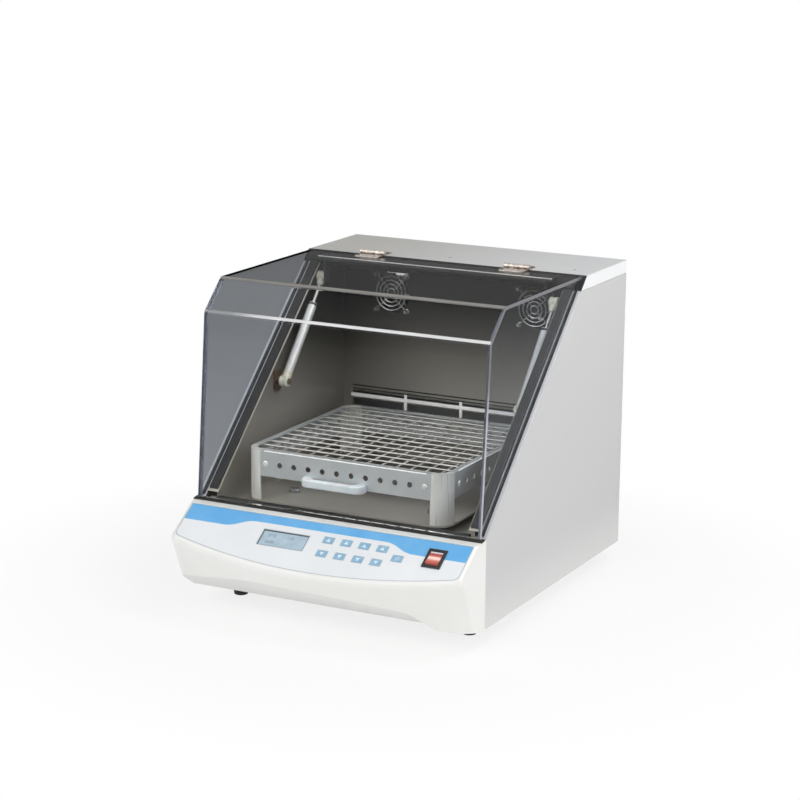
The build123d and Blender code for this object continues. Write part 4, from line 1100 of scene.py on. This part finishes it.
def white_room(studio):
    """A world that is white to the eye, plain to matt pieces, and a room to metal and glass."""
    world = bpy.data.worlds.new("studio")
    world.use_nodes = True
    tree = world.node_tree
    tree.nodes.clear()
    rays = add(tree, "ShaderNodeLightPath").outputs
    mirror = add(tree, "ShaderNodeMath", {0: rays["Is Glossy Ray"], 1: rays["Is Transmission Ray"]},
                 operation="MAXIMUM")
    way = add(tree, "ShaderNodeSeparateXYZ", {0: add(tree, "ShaderNodeTexCoord").outputs["Generated"]})
    # The room is dim towards the front, and behind it has a dark band at the height of the lid.
    room = add(tree, "ShaderNodeMapRange", {"Value": way.outputs["Y"], "From Min": -0.35,
                                            "From Max": 0.25, "To Min": studio.room, "To Max": 1.0},
               interpolation_type="SMOOTHSTEP")
    over = add(tree, "ShaderNodeMapRange", {"Value": way.outputs["Z"], "From Min": 0.3, "From Max": 0.6},
               interpolation_type="SMOOTHSTEP")
    under = add(tree, "ShaderNodeMapRange", {"Value": way.outputs["Z"], "From Min": 0.06,
                                             "From Max": -0.02}, interpolation_type="SMOOTHSTEP")
    open_part = add(tree, "ShaderNodeMath", {0: over.outputs[0], 1: under.outputs[0]}, operation="MAXIMUM")
    band = add(tree, "ShaderNodeMapRange", {"Value": open_part.outputs[0], "To Min": studio.flag})
    wall = add(tree, "ShaderNodeMath", {0: room.outputs[0], 1: band.outputs[0]}, operation="MULTIPLY")
    # Its ceiling is white, and the wall behind is grey to whatever is seen through glass.
    ceiling = add(tree, "ShaderNodeMath", {0: over.outputs[0], 1: studio.ceiling}, operation="MULTIPLY")
    all_round = add(tree, "ShaderNodeMath", {0: wall.outputs[0], 1: ceiling.outputs[0]},
                    operation="MAXIMUM")
    behind = add(tree, "ShaderNodeMapRange", {"Value": way.outputs["Y"], "From Min": 0.1, "From Max": 0.4})
    through = add(tree, "ShaderNodeMath", {0: behind.outputs[0], 1: rays["Is Transmission Ray"]},
                  operation="MULTIPLY")
    backed = add(tree, "ShaderNodeMix", {0: through.outputs[0], 2: all_round.outputs[0],
                                         3: studio.backdrop}, data_type="FLOAT")
    mirrored = add(tree, "ShaderNodeMix", {0: mirror.outputs[0], 2: studio.fill, 3: backed.outputs[0]},
                   data_type="FLOAT")
    shown = add(tree, "ShaderNodeMix", {0: rays["Is Camera Ray"], 2: mirrored.outputs[0], 3: 1.0},
                data_type="FLOAT")
    light = add(tree, "ShaderNodeBackground", {"Color": (1, 1, 1, 1), "Strength": shown.outputs[0]})
    add(tree, "ShaderNodeOutputWorld", {"Surface": light.outputs[0]})
    return world


def photo_camera(studio):
    """The camera where the photograph was taken from, turned to its target and leaned by its roll."""
    lens = bpy.data.cameras.new("camera")
    lens.lens, lens.sensor_width, lens.clip_end = studio.lens, 36.0, 30
    camera = bpy.data.objects.new("camera", lens)
    az, el = studio.azimuth, studio.elevation
    back = Vector((sin(az) * cos(el), -cos(az) * cos(el), sin(el)))
    right = Vector((cos(az), sin(az), 0))
    lean = Matrix.Rotation(studio.roll, 3, back)
    turn = Matrix((lean @ right, lean @ back.cross(right), back)).transposed()
    camera.matrix_world = Matrix.LocRotScale(Vector(studio.target) + back * studio.distance,
                                             turn.to_quaternion(), None)
    return camera


class SHAKER_OT_stage(bpy.types.Operator):
    """Set up the pale floor, the white background, three soft boxes and the camera"""
    bl_idname = "shaker.stage"
    bl_label = "Studio"

    def execute(self, context):
        studio, scene = context.scene.shaker_studio, context.scene
        bm = bmesh.new()
        bmesh.ops.create_circle(bm, cap_ends=True, radius=6.0, segments=64)
        mesh = bpy.data.meshes.new("floor")
        bm.to_mesh(mesh)
        bm.free()
        mesh.materials.append(paper_sweep(studio))
        floor = bpy.data.objects.new("floor", mesh)
        floor.location.z = -0.0004
        scene.collection.objects.link(floor)
        scene.world = white_room(studio)
        soft_box("front_box", studio.front_lamp, (-1.3, -2.6, 1.5), (0, 0, 0.2), 3.0, 2.2)
        soft_box("side_box", studio.side_lamp, (2.7, -0.9, 1.0), (0, 0, 0.2), 1.6, 1.6)
        soft_box("top_box", studio.top_lamp, (0.8, 0.1, 1.4), (0, 0, 0.3), 0.6, 0.6)
        scene.camera = photo_camera(studio)
        scene.collection.objects.link(scene.camera)
        scene.view_settings.view_transform = "Standard"
        return {"FINISHED"}


OPERATORS = (SHAKER_OT_cabinet, SHAKER_OT_chamber, SHAKER_OT_lid, SHAKER_OT_hinges, SHAKER_OT_struts,
             SHAKER_OT_console, SHAKER_OT_display, SHAKER_OT_keys, SHAKER_OT_switch, SHAKER_OT_fans,
             SHAKER_OT_tray, SHAKER_OT_drive, SHAKER_OT_electrics, SHAKER_OT_stage)


class SHAKER_PT_sidebar(bpy.types.Panel):
    """Sizes, colours and piece operators of the shaker"""
    bl_idname = "SHAKER_PT_sidebar"
    bl_label = "Benchtop Shaker"
    bl_space_type = "VIEW_3D"
    bl_region_type = "UI"
    bl_category = "Shaker"

    def draw(self, context):
        scene = context.scene
        for group in (scene.shaker_colours, scene.shaker_sizes, scene.shaker_studio):
            box = self.layout.box()
            for name in type(group).__annotations__:
                box.prop(group, name)
        for operator in OPERATORS:
            self.layout.operator(operator.bl_idname)


CLASSES = (ShakerColours, ShakerSizes, ShakerStudio, *OPERATORS, SHAKER_PT_sidebar)
GROUPS = {"shaker_colours": ShakerColours, "shaker_sizes": ShakerSizes, "shaker_studio": ShakerStudio}


def register():
    for cls in CLASSES:
        bpy.utils.register_class(cls)
    for name, group in GROUPS.items():
        setattr(bpy.types.Scene, name, PointerProperty(type=group))


def unregister():
    for name in GROUPS:
        delattr(bpy.types.Scene, name)
    for cls in reversed(CLASSES):
        bpy.utils.unregister_class(cls)


def main():
    register()
    for operator in OPERATORS:
        group, name = operator.bl_idname.split(".")
        getattr(getattr(bpy.ops, group), name)()


if __name__ == "__main__":
    main()
